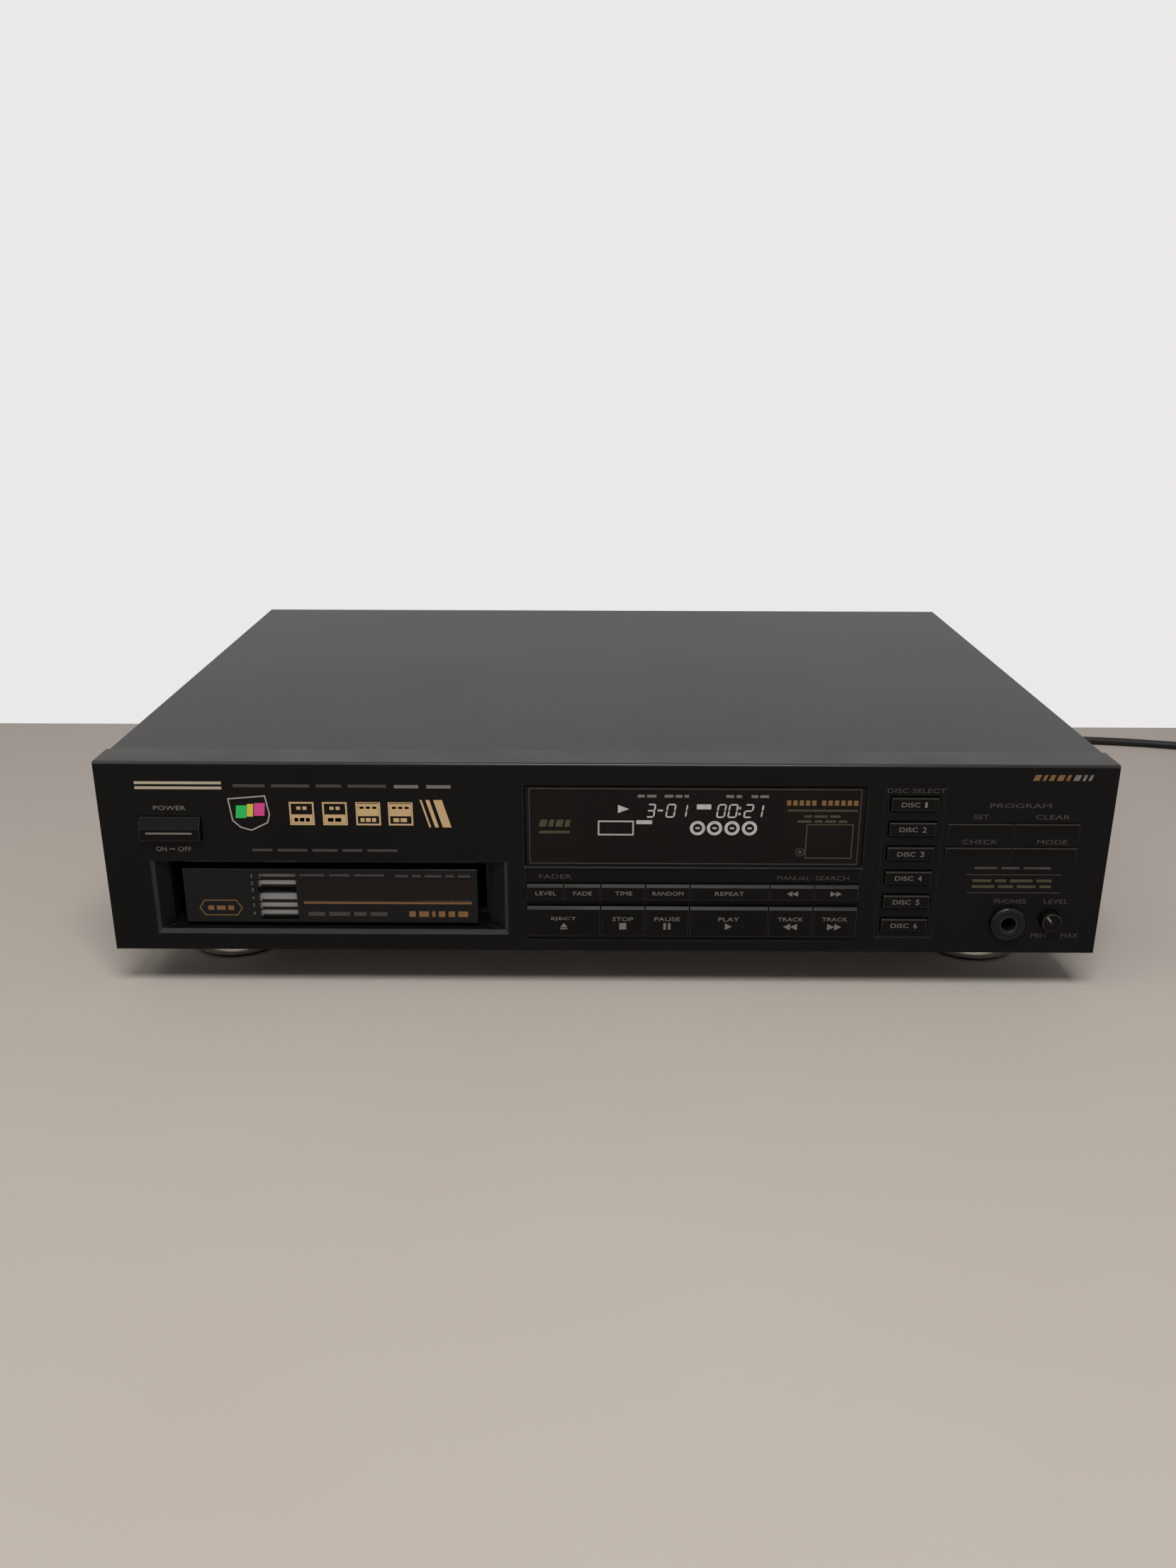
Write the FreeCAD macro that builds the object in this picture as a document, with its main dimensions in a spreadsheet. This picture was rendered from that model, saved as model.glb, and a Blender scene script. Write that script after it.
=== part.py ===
import FreeCAD, Part
import math
import os

import Sketcher

# Magazine compact disc changer, millimetres.
# +X is to the right of someone facing the front, +Y points to the rear, +Z up.
# The origin lies on the floor plane, midway between the sides and midway
# between the face of the front panel and the rear of the cover.

SIZES = {
    # Housing
    "panel_wide": 420.0,
    "overall_high": 105.0,
    "overall_deep": 300.0,
    "panel_under": 20.0,
    "panel_lip": 17.0,
    "panel_wall": 2.5,
    "panel_round": 1.2,
    "panel_overhang": 1.5,
    "cover_wall": 1.0,
    "cover_lip": 10.0,
    "base_lift": 0.5,
    "base_wall": 1.0,
    "base_flange": 11.5,
    "rear_wall": 1.0,
    "sheet_gap": 0.3,
    "boss_radius": 2.5,
    # Feet
    "foot_radius": 22.5,
    "foot_waist": 19.0,
    "foot_sole": 1.5,
    "foot_ring": 5.5,
    "foot_side_inset": 38.5,
    "foot_front_inset": 52.0,
    "foot_rear_inset": 46.0,
    # Screws
    "screw_radius": 2.0,
    "screw_head": 4.0,
    "screw_head_high": 2.2,
    "screw_long": 7.0,
    "screw_hole": 2.1,
    "screw_slot_reach": 2.4,
    "screw_slot": 0.9,
    "side_screw_lift": 6.5,
    "side_screw_front_inset": 80.0,
    "side_screw_rear_inset": 54.0,
    "rear_screw_inset": 60.0,
    "rear_screw_drop": 5.5,
    # Display window and its tube
    "window_from_mouth": 8.0,
    "window_from_channel": 8.2,
    "window_lift": 1.0,
    "window_drop": 10.2,
    "window_gap": 0.2,
    "window_sunk": 0.3,
    "window_flange": 1.4,
    "window_flange_thick": 0.8,
    "window_bevel": 0.8,
    "tube_margin_left": 23.0,
    "tube_margin_right": 33.2,
    "tube_lift": 7.0,
    "tube_drop": 1.3,
    "tube_thick": 6.5,
    "tube_lead": 1.2,
    # Keys under the window
    "key_bay_lift": 5.3,
    "key_bay_high": 33.2,
    "key_bay_sunk": 0.8,
    "key_wide": 18.8,
    "key_half": 15.7,
    "key_long": 33.6,
    "key_gap": 0.5,
    "key_clear": 0.3,
    "key_proud": 1.4,
    "key_bevel": 1.0,
    "key_edge": 0.3,
    "key_travel": 0.8,
    "key_flange": 0.7,
    "key_flange_thick": 1.0,
    "key_stem": 2.0,
    "key_switch_gap": 0.2,
    "upper_key_lift": 19.1,
    "upper_key_high": 7.0,
    "lower_key_lift": 2.1,
    "lower_key_high": 13.8,
    # Disc keys, in their channel
    "disc_key_inset": 82.4,
    "disc_key_drop": 17.2,
    "disc_key_lift": 5.8,
    "disc_key_wide": 19.2,
    "disc_key_high": 5.8,
    "disc_key_clear": 0.7,
    "disc_key_proud": 0.6,
    "disc_channel_wide": 24.4,
    "disc_channel_lift": 7.0,
    "disc_channel_drop": 8.0,
    "disc_channel_sunk": 0.5,
    # Programme keys
    "programme_inset": 40.65,
    "programme_wide": 27.1,
    "programme_high": 5.6,
    "programme_clear": 0.4,
    "programme_proud": 0.5,
    "programme_drop": 28.4,
    "programme_pitch": 10.7,
    # Power key
    "power_inset": 29.2,
    "power_drop": 7.3,
    "power_wide": 25.2,
    "power_high": 10.0,
    "power_clear": 0.6,
    "power_proud": 2.5,
    "power_slope": 4.5,
    # Boards behind the panel
    "board_thick": 1.6,
    "board_back": 1.0,
    "board_margin_left": 7.0,
    "board_inset_right": 5.0,
    "board_lift": 4.0,
    "board_drop": 6.0,
    "board_boss_lift": 6.0,
    "board_boss_drop": 2.0,
    "board_boss_beside": 4.8,
    "board_boss_over_phones": 17.5,
    "board_notch_over_phones": 12.5,
    "switch_side": 6.0,
    "switch_deep": 3.5,
    "plunger_radius": 1.5,
    "plunger_long": 0.8,
    "power_board_wide": 38.0,
    "power_board_high": 10.0,
    "power_boss_spread": 15.9,
    # Headphone socket and level control
    "phones_inset": 38.6,
    "phones_lift": 14.5,
    "phones_collar": 7.2,
    "phones_proud": 2.5,
    "phones_bush": 5.5,
    "phones_bore": 3.2,
    "phones_bore_deep": 31.0,
    "phones_body_wide": 13.0,
    "phones_body_deep": 33.0,
    "phones_body_high": 15.0,
    "phones_board_wide": 42.0,
    "phones_board_margin": 3.0,
    "level_inset_right": 20.8,
    "level_lift": 15.9,
    "level_radius": 4.1,
    "level_proud": 4.0,
    "level_hole": 4.6,
    "level_shaft": 1.5,
    "level_shaft_gap": 0.1,
    "level_shaft_long": 6.0,
    "level_body": 11.0,
    "level_body_deep": 8.0,
    "level_sunk": 1.2,
    "level_gap": 1.0,
    "level_pointer": 0.8,
    "level_pointer_turn": 40.0,
    # Magazine
    "magazine_gap_left": 5.6,
    "magazine_gap_right": 4.6,
    "magazine_side_room": 0.35,
    "magazine_rear_gap": 0.8,
    "magazine_low_gap": 0.75,
    "magazine_high_gap": 1.05,
    "magazine_lift": 11.0,
    "magazine_sunk": 3.0,
    "magazine_side": 1.6,
    "magazine_face": 2.0,
    "magazine_floor": 1.4,
    "magazine_roof": 1.6,
    "magazine_right_wall": 39.0,
    "magazine_label_sunk": 0.3,
    "magazine_label_gap": 2.5,
    "magazine_label_side": 2.2,
    "magazine_label_drop": 4.2,
    "magazine_label_high": 10.6,
    "magazine_round": 0.8,
    # Trays on their pin
    "tray_pitch": 3.5,
    "tray_thick": 2.6,
    "tray_floor": 1.1,
    "tray_eye_gap": 0.65,
    "tray_pin_radius": 2.0,
    "tray_pin_gap": 0.1,
    "tray_pin_seat_gap": 0.05,
    "tray_eye": 4.5,
    "tray_eye_high": 3.2,
    "tray_rim": 1.4,
    "tray_rim_start": 12.0,
    "tray_disc_gap": 0.8,
    "tray_hub_hole": 22.0,
    "tray_slot_half": 15.0,
    "tray_notch_half": 12.0,
    "tray_front_gap": 0.3,
    "tray_front_rim": 0.9,
    "tray_side_gap": 0.4,
    "tab_inset": 32.4,
    "tab_wide": 15.3,
    "tab_deep": 4.0,
    "tab_high": 2.9,
    "tab_window_gap": 0.5,
    # Compact disc
    "disc_radius": 60.0,
    "disc_hole": 7.5,
    "disc_thick": 1.2,
    "disc_seat_gap": 0.1,
    # Opening and bay for the magazine
    "mouth_inset": 19.0,
    "mouth_gap_under": 1.6,
    "mouth_gap_top": 3.8,
    "mouth_edge": 1.4,
    "mouth_edge_bottom": 1.9,
    "mouth_edge_top": 1.1,
    "mouth_edge_deep": 1.0,
    "mouth_slope_left": 4.6,
    "mouth_slope_right": 6.9,
    "mouth_slope_deep": 4.5,
    "mouth_collar": 2.0,
    "mouth_collar_deep": 15.0,
    "bay_wall": 1.2,
    "bay_gap": 0.6,
    "bay_gap_right": 2.4,
    "bay_floor_gap": 0.4,
    "bay_roof_gap": 4.3,
    "bay_front_gap": 0.3,
    "bay_tunnel": 29.5,
    "bay_rear_gap": 2.0,
    # Lift frame with its posts
    "post_radius": 2.5,
    "post_gap": 0.3,
    "post_left_clear": 17.35,
    "post_right_clear": 6.25,
    "post_front_clear": 19.0,
    "post_rear_clear": 6.8,
    "post_drop": 13.0,
    "frame_sheet": 1.2,
    "frame_rail": 14.0,
    # Lifting deck with spindle and pickup
    "deck_lift": 7.0,
    "deck_sheet": 1.4,
    "deck_margin": 6.0,
    "sleeve_wall": 2.5,
    "deck_sleeve_high": 8.0,
    "opening_margin": 18.0,
    "opening_spread": 16.0,
    "lift_stroke": 12.8,
    "clamping_gap": 0.15,
    "platter_radius": 15.0,
    "platter_thick": 1.5,
    "platter_boss": 7.2,
    "platter_boss_high": 1.6,
    "platter_boss_tip": 6.4,
    "spindle_radius": 1.5,
    "spindle_gap": 0.1,
    "spindle_hub": 3.6,
    "spindle_end_gap": 1.0,
    "seat_gap": 0.05,
    "motor_radius": 12.0,
    "motor_high": 13.0,
    "motor_pilot": 4.0,
    "rod_radius": 1.5,
    "rod_spread": 14.0,
    "rod_drop": 1.8,
    "rod_start": 13.5,
    "rod_long": 66.0,
    "rod_block": 3.0,
    "rod_block_half": 4.0,
    "rod_block_under": 2.5,
    "pickup_start": 16.0,
    "pickup_gap": 1.0,
    "pickup_wide": 22.0,
    "pickup_deep": 36.0,
    "pickup_drop": 5.4,
    "pickup_high": 8.4,
    "lens_radius": 4.0,
    "lens_inset": 9.0,
    "lens_proud": 0.5,
    # Clamp below the disc
    "clamp_stroke": 12.3,
    "clamp_sheet": 1.4,
    "clamp_sleeve_high": 5.0,
    "clamp_opening_spread": 30.0,
    "puck_thick": 5.7,
    "puck_radius": 15.5,
    "puck_gap": 0.3,
    "puck_stem": 4.0,
    "puck_keeper": 6.0,
    "puck_keeper_high": 1.2,
    "puck_dish": 8.0,
    "puck_dish_deep": 2.0,
    # Power supply and main board
    "transformer_inset": 42.0,
    "transformer_rear_inset": 62.0,
    "core_wide": 58.0,
    "core_deep": 22.0,
    "core_high": 46.0,
    "winding_wide": 36.0,
    "winding_deep": 44.0,
    "winding_high": 26.0,
    "foot_plate_deep": 34.0,
    "foot_plate_ear": 5.0,
    "foot_plate_high": 1.5,
    "main_gap_left": 5.0,
    "main_gap_right": 6.0,
    "main_front_inset": 86.0,
    "main_rear_gap": 2.0,
    "main_lift": 6.5,
    "main_boss_inset": 6.0,
    "capacitor_radius": 8.0,
    "capacitor_high": 25.0,
    "capacitor_margin": 16.0,
    "capacitor_pitch": 19.0,
    "capacitor_rear_inset": 42.0,
    "chip_wide": 14.0,
    "chip_deep": 28.0,
    "chip_high": 3.5,
    "chip_margin": 13.0,
    "chip_front_inset": 72.0,
    "sink_inset": 20.0,
    "sink_gap": 4.0,
    "sink_wide": 16.0,
    "sink_deep": 40.0,
    "sink_high": 30.0,
    "sink_fin": 1.6,
    "sink_fin_pitch": 5.0,
    # Rear sockets
    "jack_inset": 58.0,
    "jack_pitch": 16.0,
    "jack_radius": 4.15,
    "jack_long": 9.0,
    "jack_bore": 1.6,
    "jack_block_wide": 34.0,
    "jack_block_high": 15.0,
    "jack_block_deep": 12.0,
    "jack_neck": 0.2,
    "jack_hole_gap": 0.3,
    # Mains lead
    "cord_radius": 2.6,
    "bush_inset": 45.0,
    "bush_lift": 18.0,
    "bush_body": 5.6,
    "bush_body_gap": 0.1,
    "bush_head": 7.6,
    "bush_head_thick": 3.0,
    "bush_nose_long": 22.0,
    "bush_nose_root": 5.2,
    "bush_nose_tip": 3.6,
    "bush_inside": 3.0,
    "coil_radius": 29.0,
    "coil_wide": 16.4,
    "coil_high": 11.0,
    "coil_lift": 0.2,
    "plug_tail_long": 9.0,
    "plug_tail_drop": 13.0,
    "plug_long": 34.0,
    "plug_wide": 35.5,
    "plug_thick": 13.5,
    "plug_neck_long": 22.0,
    "plug_neck_root": 5.6,
    "plug_round": 4.5,
    "plug_pin_radius": 2.0,
    "plug_pin_long": 19.0,
    "plug_pin_pitch": 18.6,
}

# Levels in the magazine, counted from the top, and the one that is out at rest.
TRAY_COUNT = 6
PLAYED_TRAY = 3

# Repeated parts on the main board.
CAPACITOR_COUNT = 4
CHIP_COUNT = 4
SINK_FIN_COUNT = 8

# Centre line of the mains lead from its bush to its coil, chosen by hand.
CORD_ROUTE = [
    (165.0, 174.0, 38.0),
    (165.0, 190.0, 38.0),
    (167.0, 206.0, 34.3),
    (174.0, 218.0, 24.6),
    (187.0, 222.8, 12.0),
    (208.0, 221.0, 3.4),
    (234.0, 217.0, 2.8),
    (264.0, 213.5, 2.8),
    (300.0, 210.5, 2.8),
    (332.0, 206.5, 2.8),
    (370.0, 201.5, 2.8),
    (405.0, 192.5, 2.8),
    (440.0, 184.0, 2.8),
]
COIL_CENTRE = (455.0, 150.0)


class Size:
    """A length from the sheet, or worked out from it: its expression and its value."""

    def __init__(self, text, value):
        self.text = text
        self.value = value

    def _join(self, sign, other, value):
        return Size(f"({self.text} {sign} {other.text})", value)

    def __add__(self, other):
        other = as_size(other)
        return self._join("+", other, self.value + other.value)

    def __radd__(self, other):
        return as_size(other) + self

    def __sub__(self, other):
        other = as_size(other)
        return self._join("-", other, self.value - other.value)

    def __rsub__(self, other):
        return as_size(other) - self

    def __mul__(self, other):
        other = as_size(other)
        return self._join("*", other, self.value * other.value)

    def __rmul__(self, other):
        return as_size(other) * self

    def __truediv__(self, other):
        other = as_size(other)
        return self._join("/", other, self.value / other.value)

    def __neg__(self):
        return Size(f"(0 - {self.text})", -self.value)


def as_size(amount):
    """The amount as a Size, also when it is a plain number."""
    if isinstance(amount, Size):
        return amount
    return Size(f"({float(amount)})", float(amount))


class Sheet:
    """The spreadsheet of driving sizes; each alias reads as an attribute."""

    def __init__(self, document, sizes):
        cells = document.addObject("Spreadsheet::Sheet", "Sizes")
        for row, (alias, value) in enumerate(sizes.items(), start=1):
            cells.set(f"A{row}", alias)
            cells.set(f"B{row}", str(value))
            cells.setAlias(f"B{row}", alias)
            setattr(self, alias, Size(f"Sizes.{alias}", value))


doc = FreeCAD.newDocument("disc_changer")
s = Sheet(doc, SIZES)
doc.recompute()
subparts = []


# ---------------------------------------------------------------- helpers

def bind(thing, **amounts):
    """Bind properties of an object to expressions."""
    for name, amount in amounts.items():
        thing.setExpression(name, as_size(amount).text)


def move(thing, x=0, y=0, z=0, turn=None):
    """Place an object; turn is a FreeCAD rotation."""
    if turn is not None:
        thing.Placement = FreeCAD.Placement(FreeCAD.Vector(), turn)
    for axis, amount in zip("xyz", (x, y, z)):
        thing.setExpression(f"Placement.Base.{axis}", as_size(amount).text)
    return thing


def box(name, across, along, up):
    """A block between two limits on X, on Y and on Z."""
    block = doc.addObject("Part::Box", name)
    bind(block, Length=across[1] - across[0], Width=along[1] - along[0], Height=up[1] - up[0])
    return move(block, across[0], along[0], up[0])


UPRIGHT = {
    "x": FreeCAD.Rotation(FreeCAD.Vector(0, 1, 0), 90),
    "y": FreeCAD.Rotation(FreeCAD.Vector(1, 0, 0), -90),
    "z": FreeCAD.Rotation(),
}


def _at(axis, centre, start):
    """The corner of a round piece from its centre and its start along its axis."""
    first, second = centre
    if axis == "x":
        return (start, first, second)
    if axis == "y":
        return (first, start, second)
    return (first, second, start)


def rod(name, axis, centre, radius, span):
    """A cylinder along an axis, between two limits."""
    piece = doc.addObject("Part::Cylinder", name)
    bind(piece, Radius=radius, Height=as_size(span[1]) - span[0])
    return move(piece, *_at(axis, centre, span[0]), turn=UPRIGHT[axis])


def cone(name, axis, centre, radii, span):
    """A cone along an axis, from the first radius to the second."""
    piece = doc.addObject("Part::Cone", name)
    bind(piece, Radius1=radii[0], Radius2=radii[1], Height=as_size(span[1]) - span[0])
    return move(piece, *_at(axis, centre, span[0]), turn=UPRIGHT[axis])


def funnel(name, front_across, front_up, back_across, back_up, along):
    """A block that tapers along Y from one rectangle to another."""
    piece = doc.addObject("Part::Wedge", name)
    bind(piece, Xmin=front_across[0], Xmax=front_across[1], Zmin=front_up[0], Zmax=front_up[1])
    bind(piece, X2min=back_across[0], X2max=back_across[1], Z2min=back_up[0], Z2max=back_up[1])
    bind(piece, Ymin=along[0], Ymax=along[1])
    return piece


def fuse(name, *pieces):
    """One solid from several that meet."""
    joined = doc.addObject("Part::MultiFuse", name)
    joined.Shapes = list(pieces)
    joined.Refine = True
    return joined


def cut(name, base, *tools):
    """The base without the tools."""
    result = doc.addObject("Part::Cut", name)
    result.Base = base
    result.Tool = tools[0] if len(tools) == 1 else fuse(name + "_tools", *tools)
    result.Refine = True
    return result


def common(name, first, second):
    """What two solids share."""
    result = doc.addObject("Part::Common", name)
    result.Base = first
    result.Tool = second
    return result


def group(name, *pieces):
    """Separate solids that share one node."""
    together = doc.addObject("Part::Compound", name)
    together.Links = list(pieces)
    return together


def rounded(name, base, radius, chosen):
    """The base with a fillet on each edge that the test chooses."""
    doc.recompute()
    edges = [index for index, edge in enumerate(base.Shape.Edges, start=1) if chosen(edge)]
    result = doc.addObject("Part::Fillet", name)
    result.Base = base
    result.Edges = [(index, radius.value, radius.value) for index in edges]
    return result


def spans(edge, axis, low, high):
    """Whether every corner of the edge lies between two limits on an axis."""
    return all(low.value - 0.01 <= getattr(v.Point, axis) <= high.value + 0.01 for v in edge.Vertexes)


def subpart(label, thing, x=None, y=None, z=None, turn=None):
    """Name a finished sub-part, place it if asked, and list it for export."""
    if x is not None:
        move(thing, x, y, z, turn)
    thing.Label = label
    subparts.append(thing)
    return thing


def new_body(name):
    """An empty PartDesign body."""
    return doc.addObject("PartDesign::Body", name)


def sketch_on(body, name, plane_role, offset=0):
    """A sketch on one of the body's own origin planes, moved along its normal."""
    plane = next(feature for feature in body.Origin.OriginFeatures if feature.Role == plane_role)
    sketch = body.newObject("Sketcher::SketchObject", name)
    sketch.AttachmentSupport = [(plane, "")]
    sketch.MapMode = "FlatFace"
    sketch.setExpression("AttachmentOffset.Base.z", as_size(offset).text)
    return sketch


def _hold(sketch, kind, geometry, point, amount):
    """Bind one coordinate of a sketch point to an expression."""
    amount = as_size(amount)
    index = sketch.addConstraint(Sketcher.Constraint(kind, -1, 1, geometry, point, amount.value))
    sketch.setExpression(f"Constraints[{index}]", amount.text)


def outline(sketch, corners):
    """A closed outline of straight lines; each corner is held by two bound dimensions."""
    corners = [(as_size(u), as_size(v)) for u, v in corners]
    points = [FreeCAD.Vector(u.value, v.value, 0) for u, v in corners]
    first = sketch.GeometryCount
    for start, end in zip(points, points[1:] + points[:1]):
        sketch.addGeometry(Part.LineSegment(start, end))
    for number in range(len(points)):
        after = first + (number + 1) % len(points)
        sketch.addConstraint(Sketcher.Constraint("Coincident", first + number, 2, after, 1))
    for number, (u, v) in enumerate(corners):
        _hold(sketch, "DistanceX", first + number, 1, u)
        _hold(sketch, "DistanceY", first + number, 1, v)


def circle(sketch, u, v, radius):
    """A circle with a bound centre and radius."""
    u, v, radius = as_size(u), as_size(v), as_size(radius)
    centre = FreeCAD.Vector(u.value, v.value, 0)
    number = sketch.addGeometry(Part.Circle(centre, FreeCAD.Vector(0, 0, 1), radius.value))
    _hold(sketch, "DistanceX", number, 3, u)
    _hold(sketch, "DistanceY", number, 3, v)
    index = sketch.addConstraint(Sketcher.Constraint("Radius", number, radius.value))
    sketch.setExpression(f"Constraints[{index}]", radius.text)


def pad(body, sketch, length, backwards=False):
    """Extrude a sketch, along its normal or against it."""
    feature = body.newObject("PartDesign::Pad", sketch.Name + "_pad")
    feature.Profile = sketch
    feature.Reversed = backwards
    bind(feature, Length=length)
    return feature


def pocket(body, sketch, length, backwards=False):
    """Cut a sketch out of the body, and make sure that it cut something."""
    doc.recompute()
    before = body.Shape.Volume
    feature = body.newObject("PartDesign::Pocket", sketch.Name + "_pocket")
    feature.Profile = sketch
    feature.Reversed = backwards
    bind(feature, Length=length)
    doc.recompute()
    if not body.Shape.Volume < before:
        raise ValueError(f"{feature.Name} cuts nothing")
    return feature


def revolve(name, plane_role, corners):
    """A body turned about the vertical axis of its sketch; corners are (radius, height)."""
    body = new_body(name)
    sketch = sketch_on(body, name + "_profile", plane_role)
    outline(sketch, corners)
    feature = body.newObject("PartDesign::Revolution", name + "_turned")
    feature.Profile = sketch
    feature.ReferenceAxis = (sketch, ["V_Axis"])
    feature.Angle = 360
    return body


# ---------------------------------------------------------------- places worked out from the sizes

front = -(s.overall_deep / 2)
rear = s.overall_deep / 2
panel_inside = front + s.panel_wall
panel_back = front + s.panel_lip
panel_half = s.panel_wide / 2
panel_left = -panel_half
cover_half = panel_half - s.panel_overhang
cover_inside = cover_half - s.cover_wall
base_half = cover_inside - s.sheet_gap
base_under = s.panel_under + s.base_lift
base_top = base_under + s.base_wall
rear_outside = rear - s.cover_wall
rear_inside = rear_outside - s.rear_wall

# The magazine, sized by its trays and they by the disc
tray_well = s.disc_radius + s.tray_disc_gap
magazine_wide = (tray_well + s.magazine_side_room + s.magazine_side) * 2
magazine_deep = (s.magazine_face + s.tray_front_gap + s.tray_front_rim + tray_well * 2
                 + s.tray_rim + s.magazine_rear_gap)
low_tray = s.magazine_floor + s.magazine_low_gap
magazine_high = (low_tray + s.tray_pitch * (TRAY_COUNT - 1) + s.tray_eye_high
                 + s.magazine_high_gap + s.magazine_roof)
mouth_left = panel_left + s.mouth_inset
mouth_inner_left = mouth_left + s.mouth_edge + s.mouth_slope_left
magazine_left = mouth_inner_left + s.magazine_gap_left
magazine_x = magazine_left + magazine_wide / 2
magazine_right = magazine_left + magazine_wide
mouth_inner = (mouth_inner_left, magazine_right + s.magazine_gap_right)
mouth_right = mouth_inner[1] + s.mouth_slope_right + s.mouth_edge
magazine_under = s.panel_under + s.magazine_lift
magazine_top = magazine_under + magazine_high
mouth_inner_up = (magazine_under - s.mouth_gap_under, magazine_top + s.mouth_gap_top)
mouth_under = mouth_inner_up[0] - s.mouth_edge_bottom
mouth_top = mouth_inner_up[1] + s.mouth_edge_top
mouth_back = panel_inside + s.mouth_collar_deep
magazine_front = front + s.magazine_sunk
magazine_rear = magazine_front + magazine_deep
tray_front = magazine_front + s.magazine_face + s.tray_front_gap
stowed_y = tray_front + s.tray_front_rim + tray_well
pin_offset = magazine_wide / 2 - s.magazine_side - s.tray_eye - s.tray_eye_gap
pin_x = magazine_x - pin_offset
pin_y = stowed_y + pin_offset
play_x = magazine_x
play_y = pin_y + pin_offset
tray_reach = pin_offset * math.sqrt(2) + tray_well + s.tray_rim
tab_left = magazine_left + s.tab_inset

# The drive, round the tray that stands out
disc_under = magazine_under + low_tray + s.tray_pitch * (TRAY_COUNT - PLAYED_TRAY) + s.tray_floor
disc_under = disc_under + s.disc_seat_gap
platter_under = disc_under + s.disc_thick + s.clamping_gap + s.lift_stroke
deck_under = platter_under + s.deck_lift
rod_z = deck_under - s.rod_drop
pickup_under = deck_under - s.pickup_drop
puck_under = disc_under - s.clamping_gap - s.clamp_stroke - s.puck_thick
clamp_plate_under = puck_under - s.puck_gap - s.clamp_sheet
post_left_x = pin_x - s.post_left_clear
post_right_x = pin_x + tray_reach + s.post_right_clear
post_front_y = pin_y + s.post_front_clear
post_rear_y = play_y + tray_well + s.tray_rim + s.post_rear_clear
post_top = s.overall_high - s.post_drop

# The front, from its nearest edges
disc_key_x = panel_half - s.disc_key_inset
channel_left = disc_key_x - s.disc_channel_wide / 2
channel_up = (s.panel_under + s.disc_channel_lift, s.overall_high - s.disc_channel_drop)
disc_key_top = s.overall_high - s.disc_key_drop
disc_key_pitch = (disc_key_top - channel_up[0] - s.disc_key_lift) / (TRAY_COUNT - 1)
window_left = mouth_right + s.window_from_mouth
window_right = channel_left - s.window_from_channel
window_wide = window_right - window_left
key_bay_under = s.panel_under + s.key_bay_lift
window_under = key_bay_under + s.key_bay_high + s.window_lift
window_top = s.overall_high - s.window_drop
upper_key_under = key_bay_under + s.upper_key_lift
lower_key_under = key_bay_under + s.lower_key_lift
programme_x = panel_half - s.programme_inset
programme_top = s.overall_high - s.programme_drop
power_x = panel_left + s.power_inset
power_z = (mouth_top + s.overall_high) / 2 - s.power_drop
phones_x = panel_half - s.phones_inset
phones_z = s.panel_under + s.phones_lift
level_x = panel_half - s.level_inset_right
level_z = s.panel_under + s.level_lift
board_front = panel_back - s.board_back
board_rear = board_front + s.board_thick
board_left = window_left - s.board_margin_left
board_right = panel_half - s.board_inset_right
board_under = s.panel_under + s.board_lift
board_top = s.overall_high - s.board_drop
switch_front = board_front - s.switch_deep
plunger_front = switch_front - s.plunger_long
stem_back = plunger_front - s.key_travel - s.key_switch_gap

# The electronics and the rear
transformer_x = panel_half - s.transformer_inset
transformer_y = rear - s.transformer_rear_inset
main_left = post_right_x + s.deck_margin + s.main_gap_left
main_right = transformer_x - s.core_wide / 2 - s.foot_plate_ear - s.main_gap_right
main_front_y = front + s.main_front_inset
main_rear_y = rear_inside - s.main_rear_gap
main_top = base_top + s.main_lift + s.board_thick
chip_y = main_front_y + s.chip_front_inset
chip_pitch = (main_right - main_left - s.chip_margin * 2 - s.chip_wide) / (CHIP_COUNT - 1)
sink_x = main_right - s.sink_inset
sink_y = chip_y + s.chip_deep + s.sink_gap + s.sink_deep / 2
capacitor_y = main_rear_y - s.capacitor_rear_inset
jack_x = main_right - s.jack_inset
jack_z = main_top + s.jack_block_high / 2
bush_x = panel_half - s.bush_inset
bush_z = s.panel_under + s.bush_lift
side_screw_z = base_under + s.side_screw_lift
side_screw_ys = (front + s.side_screw_front_inset, rear - s.side_screw_rear_inset)
rear_screw_xs = (s.rear_screw_inset - panel_half, as_size(0), panel_half - s.rear_screw_inset)
rear_screw_z = s.overall_high - s.rear_screw_drop


def tray_under(number):
    """Height of a tray's underside; number counts from the top."""
    return magazine_under + low_tray + s.tray_pitch * (TRAY_COUNT - number)


class Key:
    """A push key: its name, its centre on the panel's face, its size and its looks."""

    def __init__(self, name, x, z, wide, high, clear, proud, slope_deep, slope_high):
        self.name = name
        self.x, self.z = x, z
        self.wide, self.high = wide, high
        self.clear, self.proud = clear, proud
        self.slope_deep, self.slope_high = slope_deep, slope_high


def key_row(names, widths, under, high):
    """Keys side by side across the bay, with their cells' widths given."""
    keys = []
    edge = window_left
    share = window_wide / (s.key_half * 2 + s.key_wide * 4 + s.key_long)
    for name, amount in zip(names, widths):
        cell = amount * share
        keys.append(Key(name, edge + cell / 2, under + high / 2, cell - s.key_gap, high,
                        s.key_clear, s.key_proud, s.key_bevel, s.key_bevel))
        edge = edge + cell
    return keys


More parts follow.
